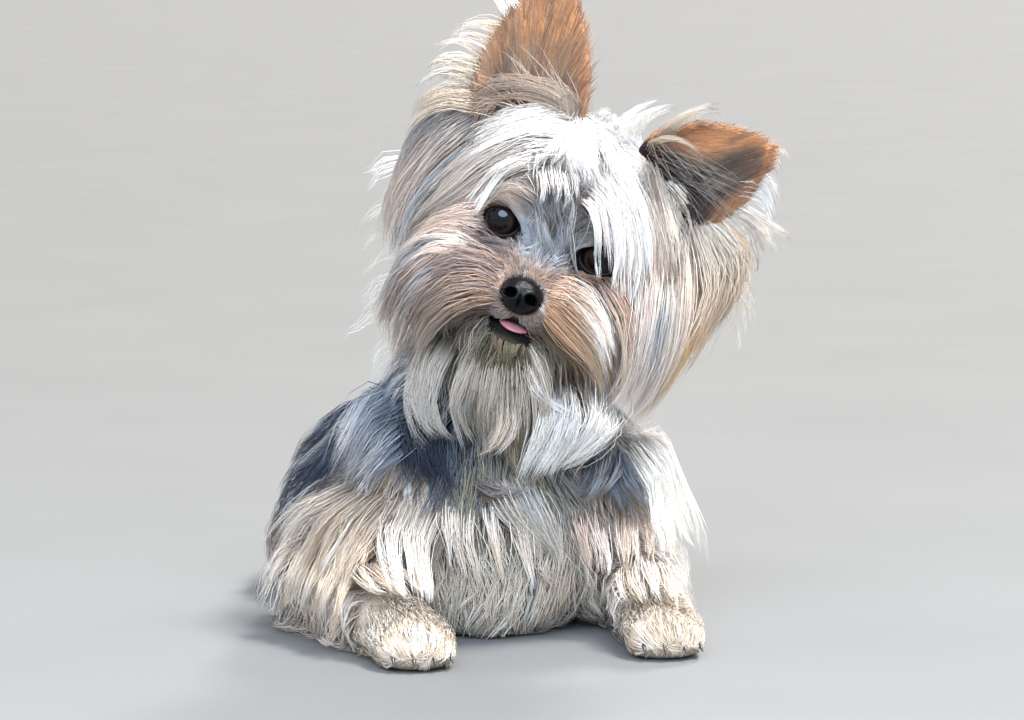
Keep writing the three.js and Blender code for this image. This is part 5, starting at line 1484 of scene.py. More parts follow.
# ------------------------------------------------------------------ body
def body_group(name, weight, n, comb_fn, length_fn, steps, level, width, every, pull, waves=(0, 30), lift=0.5,
               gravity=0.1, rise=0.35, follow=1.0, slack=1.5, flat=0.3, big=0, swing=(0, 50)):
    n = count(n)
    f, p, nn = choose(weight, n)
    r = rng.random((6, n))
    comb = unit(comb_fn(p, nn, r))
    lv = level[0] + (level[1] - level[0]) * r[0] ** 0.7
    ln = length_fn(p, r)
    pts = grow(p, nn, comb, ln, steps, lv, lift=lift, gravity=gravity, rise=rise, follow=follow)
    mine = None
    if big:
        pts, whole = clump(pts, big, 0.5, 1.4, (0.55, 0.3))
        if swing[0]:
            pts = wave(pts, whole, *swing, 0)
    if every:
        pts, mine = clump(pts, every, pull)
    if waves[0]:
        pts = wave(pts, mine, *waves)
    pts = tidy(pts, slack)
    if mine is None:
        rr = np.clip(0.5 * r[1] + 0.5 * (noise3(p, 7.0, 5) * 1.7 - 0.35), 0, 0.999)
    else:
        rr = lock_random(mine, n, 0.35)
    root, tip = body_colour(p, part_of[f], rr)
    root, tip = vary(root, tip, r[2], 1 - lv)
    add(name, pts, f, nn, root, tip, width * (0.7 + 0.6 * r[3]) * (1.7 - 1.1 * lv), flat)


BX, BY, BZ = face_c.T
off_floor = ramp(BZ, 2.0, 9.0)
m_trunk, m_neck, m_tail = (1.0 * is_part[k] for k in ("trunk", "neck", "tail"))
m_fore = 1.0 * (is_part["foreleg_right"] | is_part["foreleg_left"])
m_fpaw = 1.0 * (is_part["forepaw_right"] | is_part["forepaw_left"])
m_hind = 1.0 * (is_part["hindleg_right"] | is_part["hindleg_left"])
m_hpaw = 1.0 * (is_part["hindpaw_right"] | is_part["hindpaw_left"])
spine_x = lambda y: 3 + 17 * ramp(y, 90, 175)
front = 1 - ramp(BY, 16, 34)

# broad dark under-hair, so the long coat has depth
body_group("coat_body_under", (m_trunk + m_neck + m_fore + m_hind + m_tail) * off_floor, 2700,
           lambda p, n, r: np.stack([n[:, 0] * 0.5 + (r[4] - 0.5) * 0.3, 0.3 * ramp(p[:, 1], 20, 60), -0.9 + 0 * r[0]], 1),
           lambda p, r: 18 + 8 * r[5], 3, (0.15, 0.4), 2.3, 0, 0, lift=0.5, gravity=0.1)
body_group("coat_chest", m_trunk * front * off_floor, 2150,
           lambda p, n, r: np.stack([(p[:, 0] - 3) * 0.012 + (r[4] - 0.5) * 0.5, -0.15 + 0 * r[0], -1 + 0 * r[0]], 1),
           lambda p, r: 34 + 20 * r[5], 5, (0.3, 1.0), 0.62, 14, 0.85, (1.8, 24), lift=0.8, gravity=0.12, big=70, swing=(6.0, 36))
body_group("coat_neck", m_neck, 2000,
           lambda p, n, r: np.stack([n[:, 0] * 0.4 + (r[4] - 0.5) * 0.3, 0.25 + 0 * r[0], -1 + 0 * r[0]], 1),
           lambda p, r: 40 + 18 * r[5], 5, (0.3, 1.05), 0.60, 14, 0.8, (1.4, 30), lift=0.7, gravity=0.12, big=80, swing=(3.4, 46))
body_group("coat_back", m_trunk * (1 - front) * off_floor, 3050,
           lambda p, n, r: np.stack([sgn(p[:, 0] - spine_x(p[:, 1]), r[4], 3) * 0.8, 0.45 + (r[5] - 0.5) * 0.3, -0.55 + 0 * r[0]], 1),
           lambda p, r: 48 + 20 * r[5], 5, (0.3, 1.0), 0.94, 14, 0.8, (1.4, 36), lift=0.6, gravity=0.16, big=90, swing=(3.6, 60))
body_group("coat_foreleg", m_fore * off_floor, 2450,
           lambda p, n, r: np.stack([np.sign(p[:, 0] - 3) * 0.35 + (r[4] - 0.5) * 0.5, 0.05 + 0 * r[0], -1 + (r[5] - 0.5) * 0.4], 1),
           lambda p, r: 26 + 16 * r[5], 5, (0.3, 1.05), 0.56, 14, 0.85, (1.3, 22), lift=0.9, gravity=0.10, big=80, swing=(3.6, 34))
body_group("coat_forepaw", m_fpaw * ramp(BZ, 0.5, 3), 3200,
           lambda p, n, r: np.stack([(r[4] - 0.5) * 0.15 + (p[:, 0] - 3 - np.sign(p[:, 0] - 3) * 52) * 0.02, -1 + 0 * r[0], -0.18 + 0 * r[0]], 1),
           lambda p, r: 8 + 8 * ramp(p[:, 1], -60, -35) + 3 * r[5], 3, (0.15, 0.7), 0.44, 14, 0.25, lift=0.06, gravity=0.02, slack=0.6)
body_group("coat_hindleg", m_hind * off_floor, 1850,
           lambda p, n, r: np.stack([np.sign(p[:, 0] - HIP) * 0.2 + (r[4] - 0.5) * 0.4, 0.55 + 0 * r[0], -0.8 + 0 * r[0]], 1),
           lambda p, r: 30 + 14 * r[5], 4, (0.3, 1.0), 0.88, 13, 0.8, (1.3, 28), lift=0.7, gravity=0.10, big=80, swing=(3.0, 44))
body_group("coat_hindpaw", m_hpaw * ramp(BZ, 0.5, 3), 1300,
           lambda p, n, r: np.stack([(r[4] - 0.5) * 0.15, -1 + 0 * r[0], -0.18 + 0 * r[0]], 1),
           lambda p, r: 8 + 9 * ramp(p[:, 1], 104, 130) + 3 * r[5], 3, (0.2, 0.8), 0.60, 14, 0.25, lift=0.1, gravity=0.03, slack=0.6)


def tail_comb(p, n, r):
    line = np.array(TAIL_LINE, float)
    mids, dirs = (line[:-1] + line[1:]) / 2, unit(np.diff(line, axis=0))
    d = np.linalg.norm(p[:, None] - mids[None], axis=2)
    w = np.exp(-((d / 18) ** 2)) + 1e-6
    v = (w[:, :, None] * dirs[None]).sum(1)
    return unit(v) + n * 0.1


body_group("coat_tail", m_tail, 1180, tail_comb, lambda p, r: 30 + 14 * r[5], 4, (0.3, 1.0), 0.88, 12, 0.8, (1.6, 32),
           lift=0.55, gravity=0.06, big=80, swing=(3, 44))


# ------------------------------------------------------------------ materials
def material(name, rough=0.5, specular=0.5, coat=0.0, sheen=0.0, subsurface=0.0):
    m = bpy.data.materials.new(name)
    m.use_nodes = True
    nt = m.node_tree
    b = nt.nodes["Principled BSDF"]
    b.inputs["Roughness"].default_value = rough
    b.inputs["Specular IOR Level"].default_value = specular
    b.inputs["Coat Weight"].default_value = coat
    b.inputs["Coat Roughness"].default_value = 0.02
    b.inputs["Sheen Weight"].default_value = sheen
    b.inputs["Sheen Roughness"].default_value = 0.35
    if subsurface:
        b.inputs["Subsurface Weight"].default_value = subsurface
        b.inputs["Subsurface Scale"].default_value = 0.003
    return m, nt, b


def noise_node(nt, scale, detail=3.0, rough=0.55):
    co = nt.nodes.new("ShaderNodeTexCoord")
    no = nt.nodes.new("ShaderNodeTexNoise")
    no.inputs["Scale"].default_value = scale
    no.inputs["Detail"].default_value = detail
    no.inputs["Roughness"].default_value = rough
    nt.links.new(co.outputs["Object"], no.inputs["Vector"])
    return no


def bump_node(nt, height, strength, distance):
    b = nt.nodes.new("ShaderNodeBump")
    b.inputs["Strength"].default_value = strength
    b.inputs["Distance"].default_value = distance
    nt.links.new(height, b.inputs["Height"])
    return b


def ramp_node(nt, source, stops):
    r = nt.nodes.new("ShaderNodeValToRGB")
    while len(r.color_ramp.elements) < len(stops):
        r.color_ramp.elements.new(0.5)
    for e, (at, col) in zip(r.color_ramp.elements, stops):
        e.position = at
        e.color = (*col, 1)
    nt.links.new(source, r.inputs["Fac"])
    return r


def tinted(name, rough, specular, sheen, low, high, scale):
    """Colour from the piece's own tint, varied finely from place to place."""
    m, nt, b = material(name, rough, specular, sheen=sheen)
    at = nt.nodes.new("ShaderNodeAttribute")
    at.attribute_name = "tint"
    no = noise_node(nt, scale)
    shade = ramp_node(nt, no.outputs["Fac"], [(0.3, (low,) * 3), (0.7, (high,) * 3)])
    mx = nt.nodes.new("ShaderNodeMix")
    mx.data_type = "RGBA"
    mx.blend_type = "MULTIPLY"
    mx.inputs["Factor"].default_value = 1
    nt.links.new(at.outputs["Color"], mx.inputs["A"])
    nt.links.new(shade.outputs["Color"], mx.inputs["B"])
    nt.links.new(mx.outputs["Result"], b.inputs["Base Color"])
    bm = bump_node(nt, no.outputs["Fac"], 0.25, 0.0003)
    nt.links.new(bm.outputs["Normal"], b.inputs["Normal"])
    return m


HAIR = tinted("hair", 0.5, 0.35, 0.25, 0.92, 1.08, 620)
DARK_HAIR = tinted("dark_hair", 0.55, 0.2, 0.04, 0.92, 1.08, 620)
SKIN = tinted("skin", 0.7, 0.12, 0.0, 0.7, 1.15, 900)


# ------------------------------------------------------------------ meshes
def to_metres(p):
    return (np.asarray(p) + SHIFT) * 0.001


def build_mesh(name, verts, loops, starts, mats, smooth_shade=True, uv=None, tint=None, lean=None):
    me = bpy.data.meshes.new(name)
    me.vertices.add(len(verts))
    me.vertices.foreach_set("co", to_metres(verts).astype(F32).ravel())
    me.loops.add(len(loops))
    me.loops.foreach_set("vertex_index", np.asarray(loops, np.int32))
    me.polygons.add(len(starts))
    me.polygons.foreach_set("loop_start", np.asarray(starts, np.int32))
    me.polygons.foreach_set("use_smooth", np.full(len(starts), smooth_shade))
    if uv is not None:
        me.uv_layers.new(name="OFBake")
        me.uv_layers["OFBake"].uv.foreach_set("vector", uv.astype(F32).ravel())
    if tint is not None:
        a = me.attributes.new("tint", "FLOAT_COLOR", "POINT")
        a.data.foreach_set("color", np.concatenate([tint, np.ones((len(tint), 1))], 1).astype(F32).ravel())
    me.update(calc_edges=True)
    if lean is not None:
        me.normals_split_custom_set_from_vertices(lean.astype(F32))
    if not isinstance(mats, (list, tuple)):
        mats = [mats]
    for m in mats:
        me.materials.append(m)
    ob = bpy.data.objects.new(name, me)
    bpy.context.scene.collection.objects.link(ob)
    return ob


def strand_arrays(g):
    """Each strand as a closed, three-sided tapering lock that ends in a point."""
    pts, n0 = g["pts"], g["normal"]
    s1, n, _ = pts.shape
    s = s1 - 1
    tang = unit(np.gradient(pts, axis=0))
    up = GROW.at(pts.reshape(-1, 3))[:, 1:4].reshape(s1, n, 3).astype(float)
    if "ear" in g["name"]:
        up = np.broadcast_to(n0, (s1, n, 3)).copy()
    up = up + 0.25 * n0[None]
    across = unit(np.cross(tang, up))
    up = np.cross(across, tang)
    turn = rng.uniform(-0.35, 0.35, n)[None, :, None]
    across, up = across * np.cos(turn) + up * np.sin(turn), up * np.cos(turn) - across * np.sin(turn)
    t = (np.arange(s1) / s)[:, None]
    w = g["width"][None] * (0.45 + 0.55 * np.minimum(1, t * 5)) * (1 - 0.78 * t**1.7)
    rings, leans = [], []
    for ang in (90, 210, 330):
        a = math.radians(ang)
        leans.append(unit(up * (0.35 + 0.9 * math.sin(a)) + across * math.cos(a)))
        rings.append(pts + across * (w * 0.58 * math.cos(a))[:, :, None] + up * (w * 0.58 * g["flat"] * math.sin(a))[:, :, None])
    ring = np.stack(rings, 2)[:s]  # s, n, 3, xyz
    verts = np.concatenate([ring.transpose(1, 0, 2, 3).reshape(n, s * 3, 3), pts[s][:, None]], 1)
    lean = np.concatenate([np.stack(leans, 2)[:s].transpose(1, 0, 2, 3).reshape(n, s * 3, 3), up[s][:, None]], 1).reshape(-1, 3)
    k = s * 3 + 1
    verts[:, :, 2] = np.maximum(verts[:, :, 2], 0.12)
    loops, corner_uv, starts = [], [], []
    for i in range(s - 1):
        for j in range(3):
            a, b = i * 3 + j, i * 3 + (j + 1) % 3
            loops += [b, a, a + 3, b + 3]
            corner_uv += [((j + 1) / 3, i / s), (j / 3, i / s), (j / 3, (i + 1) / s), ((j + 1) / 3, (i + 1) / s)]
            starts.append(4)
    for j in range(3):
        a, b = (s - 1) * 3 + j, (s - 1) * 3 + (j + 1) % 3
        loops += [b, a, s * 3]
        corner_uv += [((j + 1) / 3, (s - 1) / s), (j / 3, (s - 1) / s), ((j + 0.5) / 3, 1)]
        starts.append(3)
    loops += [0, 1, 2]
    corner_uv += [(0.0, 0.02), (0.33, 0), (0.67, 0)]
    starts.append(3)
    loops, corner_uv, starts = np.array(loops), np.array(corner_uv), np.array(starts)
    all_loops = (loops[None] + (np.arange(n) * k)[:, None]).ravel()
    sizes_ = np.tile(starts, n)
    begin = np.concatenate([[0], np.cumsum(sizes_)[:-1]])
    at = unwrap(g["face"], pts[0])
    uv = (at[:, None] + (corner_uv[None] - 0.5) * 0.003).reshape(-1, 2).clip(0, 1)
    tt = (np.concatenate([np.repeat(np.arange(s), 3), [s]]) / s)[None, :, None]
    blend = np.clip(tt * 1.25 - 0.05, 0, 1)
    tint = (g["root"][:, None] * (1 - blend) + g["tip"][:, None] * blend).reshape(-1, 3)
    return verts.reshape(-1, 3), all_loops, begin, uv, tint, lean, 6 * s - 2


def split(g, most):
    n = g["pts"].shape[1]
    tris = 6 * (g["pts"].shape[0] - 1) - 2
    parts = math.ceil(n * tris / most)
    for i in range(parts):
        sl = slice(i * n // parts, (i + 1) * n // parts)
        yield dict(g, pts=g["pts"][:, sl], face=g["face"][sl], normal=g["normal"][sl], root=g["root"][sl], tip=g["tip"][sl], width=g["width"][sl])


groups = {}
for g in strands:
    groups.setdefault(g["name"], []).append(g)
total_tris = 0
DARK_GROUPS = ("back", "neck", "nape", "tail", "dark")
coat_objects = []
for name, gs in groups.items():
    pieces, load = [[]], 0
    for g in gs:
        for part in split(g, 190000):
            tris = part["pts"].shape[1] * (6 * (part["pts"].shape[0] - 1) - 2)
            if load + tris > 192000 and pieces[-1]:
                pieces.append([])
                load = 0
            pieces[-1].append(part)
            load += tris
    for i, piece in enumerate(pieces):
        V_, L_, S_, U_, T_, N_ = [], [], [], [], [], []
        nv = nl = 0
        for part in piece:
            v, l, b, uv, tint, lean, per = strand_arrays(part)
            V_.append(v); L_.append(l + nv); S_.append(b + nl); U_.append(uv); T_.append(tint); N_.append(lean)
            nv += len(v); nl += len(l)
            total_tris += part["pts"].shape[1] * per
        ob = build_mesh(name + ("_%d" % (i + 1) if len(pieces) > 1 else ""), np.concatenate(V_), np.concatenate(L_),
                        np.concatenate(S_), DARK_HAIR if any(k in name for k in DARK_GROUPS) else HAIR, True, np.concatenate(U_), np.concatenate(T_), np.concatenate(N_))
        coat_objects.append(ob)

# the skin itself
r_face = np.full(len(skin_v), 0.5)
vh = to_head(skin_v)
vpart = np.zeros(len(skin_v), int)
vpart[skin_q.ravel()] = np.repeat(part_of, 4)
on_head = np.isin(vpart, turned_parts)
hb, _ = head_colour(vh, noise3(vh, 5.0, 3).clip(0, 0.999))
bb, _ = body_colour(skin_v, vpart, noise3(skin_v, 7.0, 5).clip(0, 0.999))
# the skin shows only in the coat's gaps: its colour is dimmed to 0.7 as painted shade, and on the head lifted towards
# the top as painted light
skin_tint = np.where(on_head[:, None], hb, bb) * (0.7 + 0.42 * ramp(vh[:, 2], 14, 24) * on_head)[:, None]
for side in EAR:
    t, crown, off, half = ear_coords(side, *vh.T)
    m = vpart == part_names.index("ear_" + side)
    inside = ear_inner(t, crown, half, 0.0, side) * 0.85
    back = mix(STEEL + 0 * vh, TAN, ramp(t, 0.0, 0.4))
    skin_tint[m] = np.where((off > 0)[:, None], inside, back)[m]
for i, name in enumerate(part_names):
    if "paw" in name:
        skin_tint[vpart == i] *= 1.1
# the chin skin under the mouth is darkened towards dark olive: partly its own colour, partly painted shade
chin = ramp(-vh[:, 1], 36, 44) * ramp(-vh[:, 2], 38.5, 41) * (1 - ramp(-vh[:, 2], 56, 66)) * (1 - ramp(np.abs(vh[:, 0]), 14, 22)) * on_head
skin_tint = mix(skin_tint, DARK_OLIVE * 0.6, 0.85 * chin)
upper_lip = ramp(-vh[:, 1], 48, 54) * (1 - ramp(np.abs(vh[:, 2] + 31), 3, 6)) * on_head
skin_tint = mix(skin_tint, ROSE_BROWN * 0.6, 0.7 * upper_lip)
lips = ramp(-vh[:, 1], 34, 42) * (1 - ramp(np.abs(vh[:, 2] + 37.0 + 0.010 * vh[:, 0] ** 2), 3.6, 6.5)) * on_head
near_nose = ramp(-vh[:, 1], 50, 56) * (1 - ramp(np.sqrt((vh[:, 0] + 1.1) ** 2 / 1.5 + (vh[:, 2] + 23.2) ** 2), 7.0, 8.6)) * on_head
rim = (1 - ramp(np.sqrt((np.abs(vh[:, 0]) - 20) ** 2 / 1.6 + (vh[:, 2] + 4.5) ** 2), 7.5, 10.5)) * ramp(-vh[:, 1], 20, 26) * on_head
skin_tint = mix(skin_tint, srgb(13, 11, 12), np.maximum(np.maximum(lips, near_nose), rim))
skin_uv = unwrap(np.repeat(np.arange(len(skin_q)), 4), skin_v[skin_q.ravel()])
skin = build_mesh("skin", skin_v, skin_q.ravel(), np.arange(len(skin_q)) * 4, SKIN, True, skin_uv, skin_tint)
print("skin quads", len(skin_q), "coat", {k: round(v / 1000) for k, v in tally.items()}, "coat triangles", total_tris, "pieces", len(coat_objects), "uv scale", round(UV_SCALE, 5))


# ------------------------------------------------------------------ eyes, lids, nose, tongue, claws
def grid_mesh(name, rows, mats, closed_rows=False, caps=True, tint=None):
    """A surface through rows of points, each row a closed ring; the first and last close on themselves."""
    rows = np.asarray(rows, float)
    m, n, _ = rows.shape
    loops, starts, at = [], [], 0
    last = m if closed_rows else m - 1
    for i in range(last):
        for j in range(n):
            a, b = i * n + j, i * n + (j + 1) % n
            c, d = ((i + 1) % m) * n + (j + 1) % n, ((i + 1) % m) * n + j
            loops += [a, b, c, d]
            starts.append(at); at += 4
    if caps and not closed_rows:
        loops += list(range(n))[::-1]
        starts.append(at); at += n
        loops += [(m - 1) * n + j for j in range(n)]
        starts.append(at); at += n
    return build_mesh(name, rows.reshape(-1, 3), np.array(loops), np.array(starts), mats, tint=tint)


def make_eye(side):
    s = -1 if side == "right" else 1
    c = np.array([s * EYE_AT[0], EYE_AT[1], EYE_AT[2]])
    look = unit(np.array([s * 0.16, -1, 0.03]) + np.array([-0.02, 0, 0]))
    e1 = unit(np.cross(look, [0, 0, 1]))
    e2 = np.cross(e1, look)
    rows = []
    for a in np.linspace(0.02, math.pi - 0.02, 44):
        r = EYE_R - 0.05 + 0.55 * math.exp(-((a / 0.62) ** 2.6))  # the cornea bulges
        ring = [from_head(c + look * (r * math.cos(a)) + (e1 * math.cos(b) + e2 * math.sin(b)) * (r * math.sin(a)))
                for b in np.linspace(0, 2 * math.pi, 56, endpoint=False)]
        rows.append(ring)
    m, nt, b = material("eye_" + side, 0.08, 0.42)
    b.inputs["Specular Tint"].default_value = (0.78, 0.88, 1.0, 1)
    co = nt.nodes.new("ShaderNodeTexCoord")
    sub = nt.nodes.new("ShaderNodeVectorMath"); sub.operation = "SUBTRACT"
    sub.inputs[1].default_value = to_metres(from_head(c))
    nt.links.new(co.outputs["Object"], sub.inputs[0])
    dot = nt.nodes.new("ShaderNodeVectorMath"); dot.operation = "DOT_PRODUCT"
    dot.inputs[1].default_value = dir_from_head(look) / (EYE_R * 0.001)
    nt.links.new(sub.outputs[0], dot.inputs[0])
    no = noise_node(nt, 900, 4)
    wob = nt.nodes.new("ShaderNodeMath"); wob.operation = "MULTIPLY_ADD"
    wob.inputs[1].default_value = 0.02
    nt.links.new(no.outputs["Fac"], wob.inputs[0])
    nt.links.new(dot.outputs["Value"], wob.inputs[2])
    cr = ramp_node(nt, wob.outputs[0], [
        (0.60, tuple(srgb(18, 14, 15))), (0.70, tuple(srgb(9, 7, 8))), (0.77, tuple(srgb(24, 15, 12))),
        (0.86, tuple(srgb(52, 33, 25))), (0.92, tuple(srgb(16, 10, 9))), (0.95, tuple(srgb(3, 3, 4)))])
    nt.links.new(cr.outputs["Color"], b.inputs["Base Color"])
    ob = grid_mesh("eye_" + side + "_ball", rows, m)
    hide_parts("eye_" + side)
    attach(ob, "root")

    # lids: a soft dark band round an almond opening
    lm, lnt, lb = material("lid_" + side, 0.5, 0.15)
    ln = noise_node(lnt, 1400, 3)
    lc = ramp_node(lnt, ln.outputs["Fac"], [(0.3, tuple(srgb(12, 10, 12))), (0.7, tuple(srgb(32, 27, 28)))])
    lnt.links.new(lc.outputs["Color"], lb.inputs["Base Color"])
    lnt.links.new(bump_node(lnt, ln.outputs["Fac"], 0.4, 0.0004).outputs["Normal"], lb.inputs["Normal"])
    fwd = unit(np.array([s * 0.10, -1, 0.02]))
    x1 = unit(np.cross(fwd, [0, 0, 1])) * (-s)  # towards the outer corner
    z1 = np.cross(x1, fwd) * (1 if np.cross(x1, fwd)[2] > 0 else -1)
    band = []
    for phi in np.linspace(0, 2 * math.pi, 60, endpoint=False):
        cx, cz = math.cos(phi), math.sin(phi)
        ax = 0.98 * (1 + 0.06 * cx)
        az = 0.64
        open_x = ax * np.sign(cx) * abs(cx) ** 0.92
        open_z = az * np.sign(cz) * abs(cz) ** 1.15 * (1 - 0.10 * cx * cx)
        tilt = 0.10
        ox, oz = open_x * math.cos(tilt) - open_z * math.sin(tilt), open_x * math.sin(tilt) + open_z * math.cos(tilt)
        ang, dirn = math.hypot(ox, oz), np.array([ox, oz]) / math.hypot(ox, oz)
        prof = []
        for da, dr in ((-0.02, -0.6), (-0.035, 0.25), (0.0, 0.62), (0.06, 0.85), (0.14, 0.95), (0.26, 0.9), (0.40, 0.5), (0.52, -0.4), (0.4, -1.4), (0.12, -1.6)):
            a = ang + da
            d = fwd * math.cos(a) + (x1 * dirn[0] + z1 * dirn[1]) * math.sin(a)
            prof.append(from_head(c + d * (EYE_R + 0.25 + dr)))
        band.append(prof)
    rows = np.array(band)
    m_, n_ = rows.shape[:2]
    loops = []
    for i in range(m_):
        for j in range(n_):
            a, b2 = i * n_ + j, i * n_ + (j + 1) % n_
            c2, d2 = ((i + 1) % m_) * n_ + (j + 1) % n_, ((i + 1) % m_) * n_ + j
            loops += [a, d2, c2, b2] if s > 0 else [a, b2, c2, d2]
    lid = build_mesh("eyelids_" + side, rows.reshape(-1, 3), np.array(loops), np.arange(m_ * n_) * 4, lm)
    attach(lid, "root")


for _side in ("right", "left"):
    make_eye(_side)


def make_nose():
    rows, shade = [], []
    for lat in np.linspace(0.015, math.pi - 0.015, 84):
        ring = []
        for lon in np.linspace(0, 2 * math.pi, 112, endpoint=False):
            x, y, z = math.sin(lat) * math.cos(lon), -math.cos(lat), math.sin(lat) * math.sin(lon)
            # y runs out of the front; the pad is broad above, narrower below
            px = x * (1 + 0.13 * z - 0.07 * z * z)
            dent = dark = 0.0
            fall = max(0.0, min(1.0, (0.30 - y) / 0.45))
            for s in (-1, 1):
                u, v = s * px - 0.47, z - 0.10
                hole = math.exp(-(((u * 0.9 + v * 0.35) / 0.19) ** 2 + ((v * 0.95 - u * 0.3) / 0.24) ** 2) ** 1.3)
                slit = math.exp(-(((u - 0.30 + 0.2 * v) / 0.24) ** 2 + ((v + 0.16) / 0.10) ** 2))
                dent += 0.80 * hole + 0.40 * slit
                dark = max(dark, hole, 0.8 * slit)
                dent -= 0.09 * math.exp(-(((math.hypot(u, v) - 0.34) / 0.13) ** 2))
            groove = math.exp(-((px / 0.06) ** 2)) * min(1, max(0, 0.35 - z) / 0.5)
            dent += 0.17 * groove
            dark = max(dark, 0.5 * groove)
            q = np.array([px * NOSE_R[0], (y + dent * fall) * NOSE_R[1], z * NOSE_R[2]])
            ring.append(from_head(q + NOSE_AT))
            # the tint darkens the nostrils and the groove: painted shade in the hollows
            shade.append(mix(srgb(5, 7, 9), srgb(1, 1, 2), np.array(min(1, dark * 1.3 * fall))))
        rows.append(ring)
    m, nt, b = material("nose_leather", 0.27, 0.16)
    b.inputs["Coat Roughness"].default_value = 0.15
    vo = nt.nodes.new("ShaderNodeTexVoronoi")
    vo.inputs["Scale"].default_value = 1700
    co = nt.nodes.new("ShaderNodeTexCoord")
    nt.links.new(co.outputs["Object"], vo.inputs["Vector"])
    at = nt.nodes.new("ShaderNodeAttribute")
    at.attribute_name = "tint"
    cr = ramp_node(nt, vo.outputs["Distance"], [(0.0, (1.15,) * 3), (0.8, (0.7,) * 3)])
    mx = nt.nodes.new("ShaderNodeMix")
    mx.data_type, mx.blend_type = "RGBA", "MULTIPLY"
    mx.inputs["Factor"].default_value = 1
    nt.links.new(at.outputs["Color"], mx.inputs["A"])
    nt.links.new(cr.outputs["Color"], mx.inputs["B"])
    nt.links.new(mx.outputs["Result"], b.inputs["Base Color"])
    inv = nt.nodes.new("ShaderNodeMath"); inv.operation = "SUBTRACT"; inv.inputs[0].default_value = 1
    nt.links.new(vo.outputs["Distance"], inv.inputs[1])
    nt.links.new(bump_node(nt, inv.outputs[0], 0.4, 0.0003).outputs["Normal"], b.inputs["Normal"])
    ob = grid_mesh("nose_pad", rows, m, tint=np.array(shade))
    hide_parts("nose"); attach(ob, "root")


make_nose()


def make_tongue():
    rows = []
    for lat in np.linspace(0.03, math.pi - 0.03, 36):
        ring = []
        for lon in np.linspace(0, 2 * math.pi, 48, endpoint=False):
            x, y, z = math.sin(lat) * math.cos(lon), -math.cos(lat), math.sin(lat) * math.sin(lon)
            zz = z * TONGUE_R[2] - (0.5 * math.exp(-((x / 0.16) ** 2)) if z > 0 else 0) * (1 - y * y) - 0.9 * max(0, -y) ** 2
            ring.append(from_head(np.array([x * TONGUE_R[0], y * TONGUE_R[1], zz]) + TONGUE_AT))
        rows.append(ring)
    m, nt, b = material("tongue_skin", 0.28, 0.55, subsurface=0.25)
    no = noise_node(nt, 1600, 4)
    cr = ramp_node(nt, no.outputs["Fac"], [(0.3, tuple(srgb(138, 82, 92))), (0.7, tuple(srgb(176, 118, 126)))])
    nt.links.new(cr.outputs["Color"], b.inputs["Base Color"])
    nt.links.new(bump_node(nt, no.outputs["Fac"], 0.5, 0.0003).outputs["Normal"], b.inputs["Normal"])
    ob = grid_mesh("tongue_tip", rows, m)
    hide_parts("tongue"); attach(ob, "root")


make_tongue()


def make_claws():
    rows_v, loops, starts = [], [], []
    nv = at = 0
    for c, dx in CLAWS:
        c = np.array(c, float)
        seg, n = 7, 10
        line = [c + np.array([dx * 0.10, -5.4, -0.2]) + np.array([dx * 0.012, -1, 0]) * (7.2 * u) + np.array([0, 0, -1]) * (3.6 * u * u) for u in np.linspace(0, 1, seg)]
        for i, p in enumerate(line):
            u = i / (seg - 1)
            r = 1.45 * (1 - u) ** 0.6 + 0.18
            for b in np.linspace(0, 2 * math.pi, n, endpoint=False):
                q = p + np.array([math.cos(b) * r * 0.8, 0, math.sin(b) * r])
                rows_v.append([q[0], q[1], max(q[2], 0.1)])
        for i in range(seg - 1):
            for j in range(n):
                a, b2 = nv + i * n + j, nv + i * n + (j + 1) % n
                loops += [a, b2, b2 + n, a + n]; starts.append(at); at += 4
        loops += [nv + j for j in range(n)][::-1]; starts.append(at); at += n
        loops += [nv + (seg - 1) * n + j for j in range(n)]; starts.append(at); at += n
        nv += seg * n
    m, nt, b = material("claw_horn", 0.3, 0.5)
    no = noise_node(nt, 500, 3)
    cr = ramp_node(nt, no.outputs["Fac"], [(0.3, tuple(srgb(24, 20, 20))), (0.75, tuple(srgb(70, 60, 56)))])
    nt.links.new(cr.outputs["Color"], b.inputs["Base Color"])
    ob = build_mesh("claws", np.array(rows_v), np.array(loops), np.array(starts), m)
    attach(ob, "root")


make_claws()

FLESH = [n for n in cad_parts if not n.startswith("eye") and n not in ("nose", "tongue")]
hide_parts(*FLESH)
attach(skin, "root")
for ob in coat_objects:
    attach(ob, "root")
    "coat_blue" if any(k in ob.name for k in DARK_GROUPS) else "coat_tan"

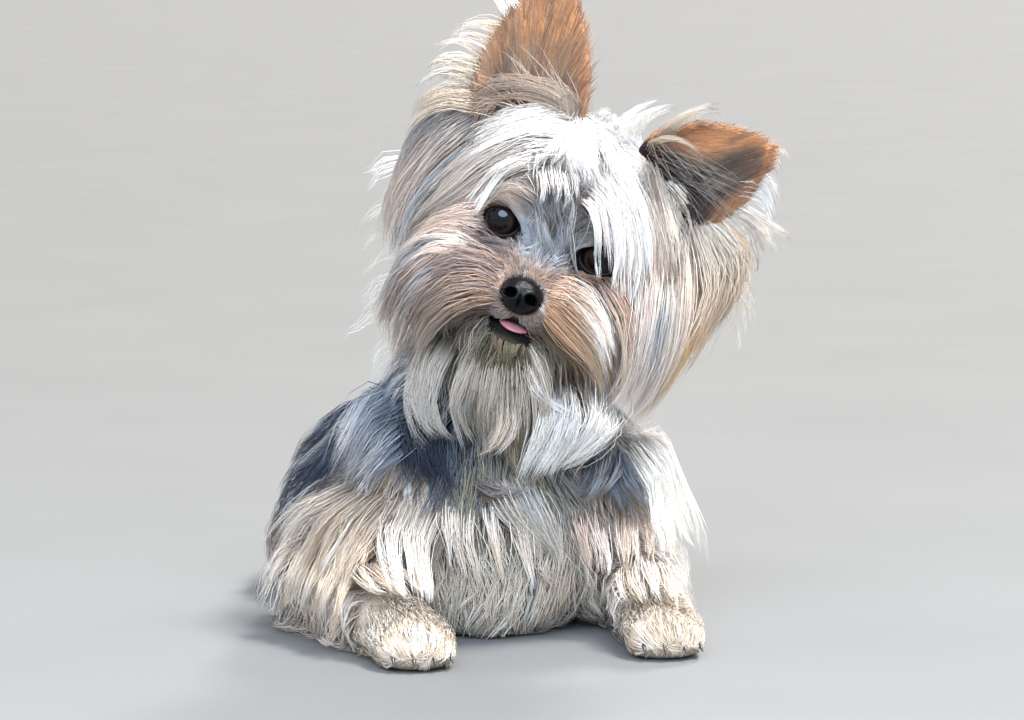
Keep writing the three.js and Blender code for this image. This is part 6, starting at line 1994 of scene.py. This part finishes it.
# ------------------------------------------------------------------ floor, light, camera
scene = bpy.context.scene
fm, fnt, fb = material("floor", 0.75, 0.2)
floor_noise = noise_node(fnt, 6, 3)
fnt.links.new(ramp_node(fnt, floor_noise.outputs["Fac"], [(0.3, (0.138, 0.139, 0.138)), (0.7, (0.147, 0.148, 0.147))]).outputs["Color"], fb.inputs["Base Color"])
bpy.ops.mesh.primitive_plane_add(size=60, location=(0, 0, 0))
floor = bpy.context.object
floor.name = "floor"
floor.data.materials.append(fm)

world = bpy.data.worlds.new("studio")
world.use_nodes = True
world.node_tree.nodes["Background"].inputs["Color"].default_value = (0.98, 0.98, 1.0, 1)
world.node_tree.nodes["Background"].inputs["Strength"].default_value = 0.9
scene.world = world


def sun(name, towards, strength, spread, colour=(1, 1, 1)):
    d = bpy.data.lights.new(name, "SUN")
    d.energy, d.angle, d.color = strength, math.radians(spread), colour
    o = bpy.data.objects.new(name, d)
    o.rotation_euler = Vector(towards).to_track_quat("-Z", "Y").to_euler()
    scene.collection.objects.link(o)


sun("key", (-0.34, 0.22, -1.0), 6.5, 14, (1.0, 0.98, 0.95))
sun("rim", (-0.75, -0.95, -1.0), 3.0, 12, (1.0, 0.98, 0.95))
sun("left", (0.95, -0.35, -0.6), 0.9, 40, (0.96, 0.98, 1.0))

AZ, EL, DIST, F_PX = math.radians(-15), math.radians(6), 1.7, 4250.0
back = np.array([math.sin(AZ) * math.cos(EL), -math.cos(AZ) * math.cos(EL), math.sin(EL)])
target = to_metres([-8.1, -57.5, 122.3])
cam = bpy.data.cameras.new("camera")
cam.sensor_width = 36
cam.lens = F_PX * 36 / 1024
cam.clip_end = 50
co = bpy.data.objects.new("camera", cam)
co.location = target + back * DIST
co.rotation_euler = Vector(-back).to_track_quat("-Z", "Y").to_euler()
scene.collection.objects.link(co)
scene.camera = co
scene.view_settings.view_transform = "Standard"

# a soft window in front and above, seen in the eyes
window = bpy.data.lights.new("window", "AREA")
window.shape, window.size, window.size_y = "ELLIPSE", 1.12, 0.86
window.energy, window.color = 27.0, (0.66, 0.82, 1.0)
wo = bpy.data.objects.new("window", window)
wdir = np.array([math.sin(AZ) * math.cos(math.radians(34)), -math.cos(AZ) * math.cos(math.radians(34)), math.sin(math.radians(34))])
wo.location = to_metres(from_head([-21, -34, -4])) + wdir * 1.15
wo.rotation_euler = Vector(-wdir).to_track_quat("-Z", "Y").to_euler()
scene.collection.objects.link(wo)
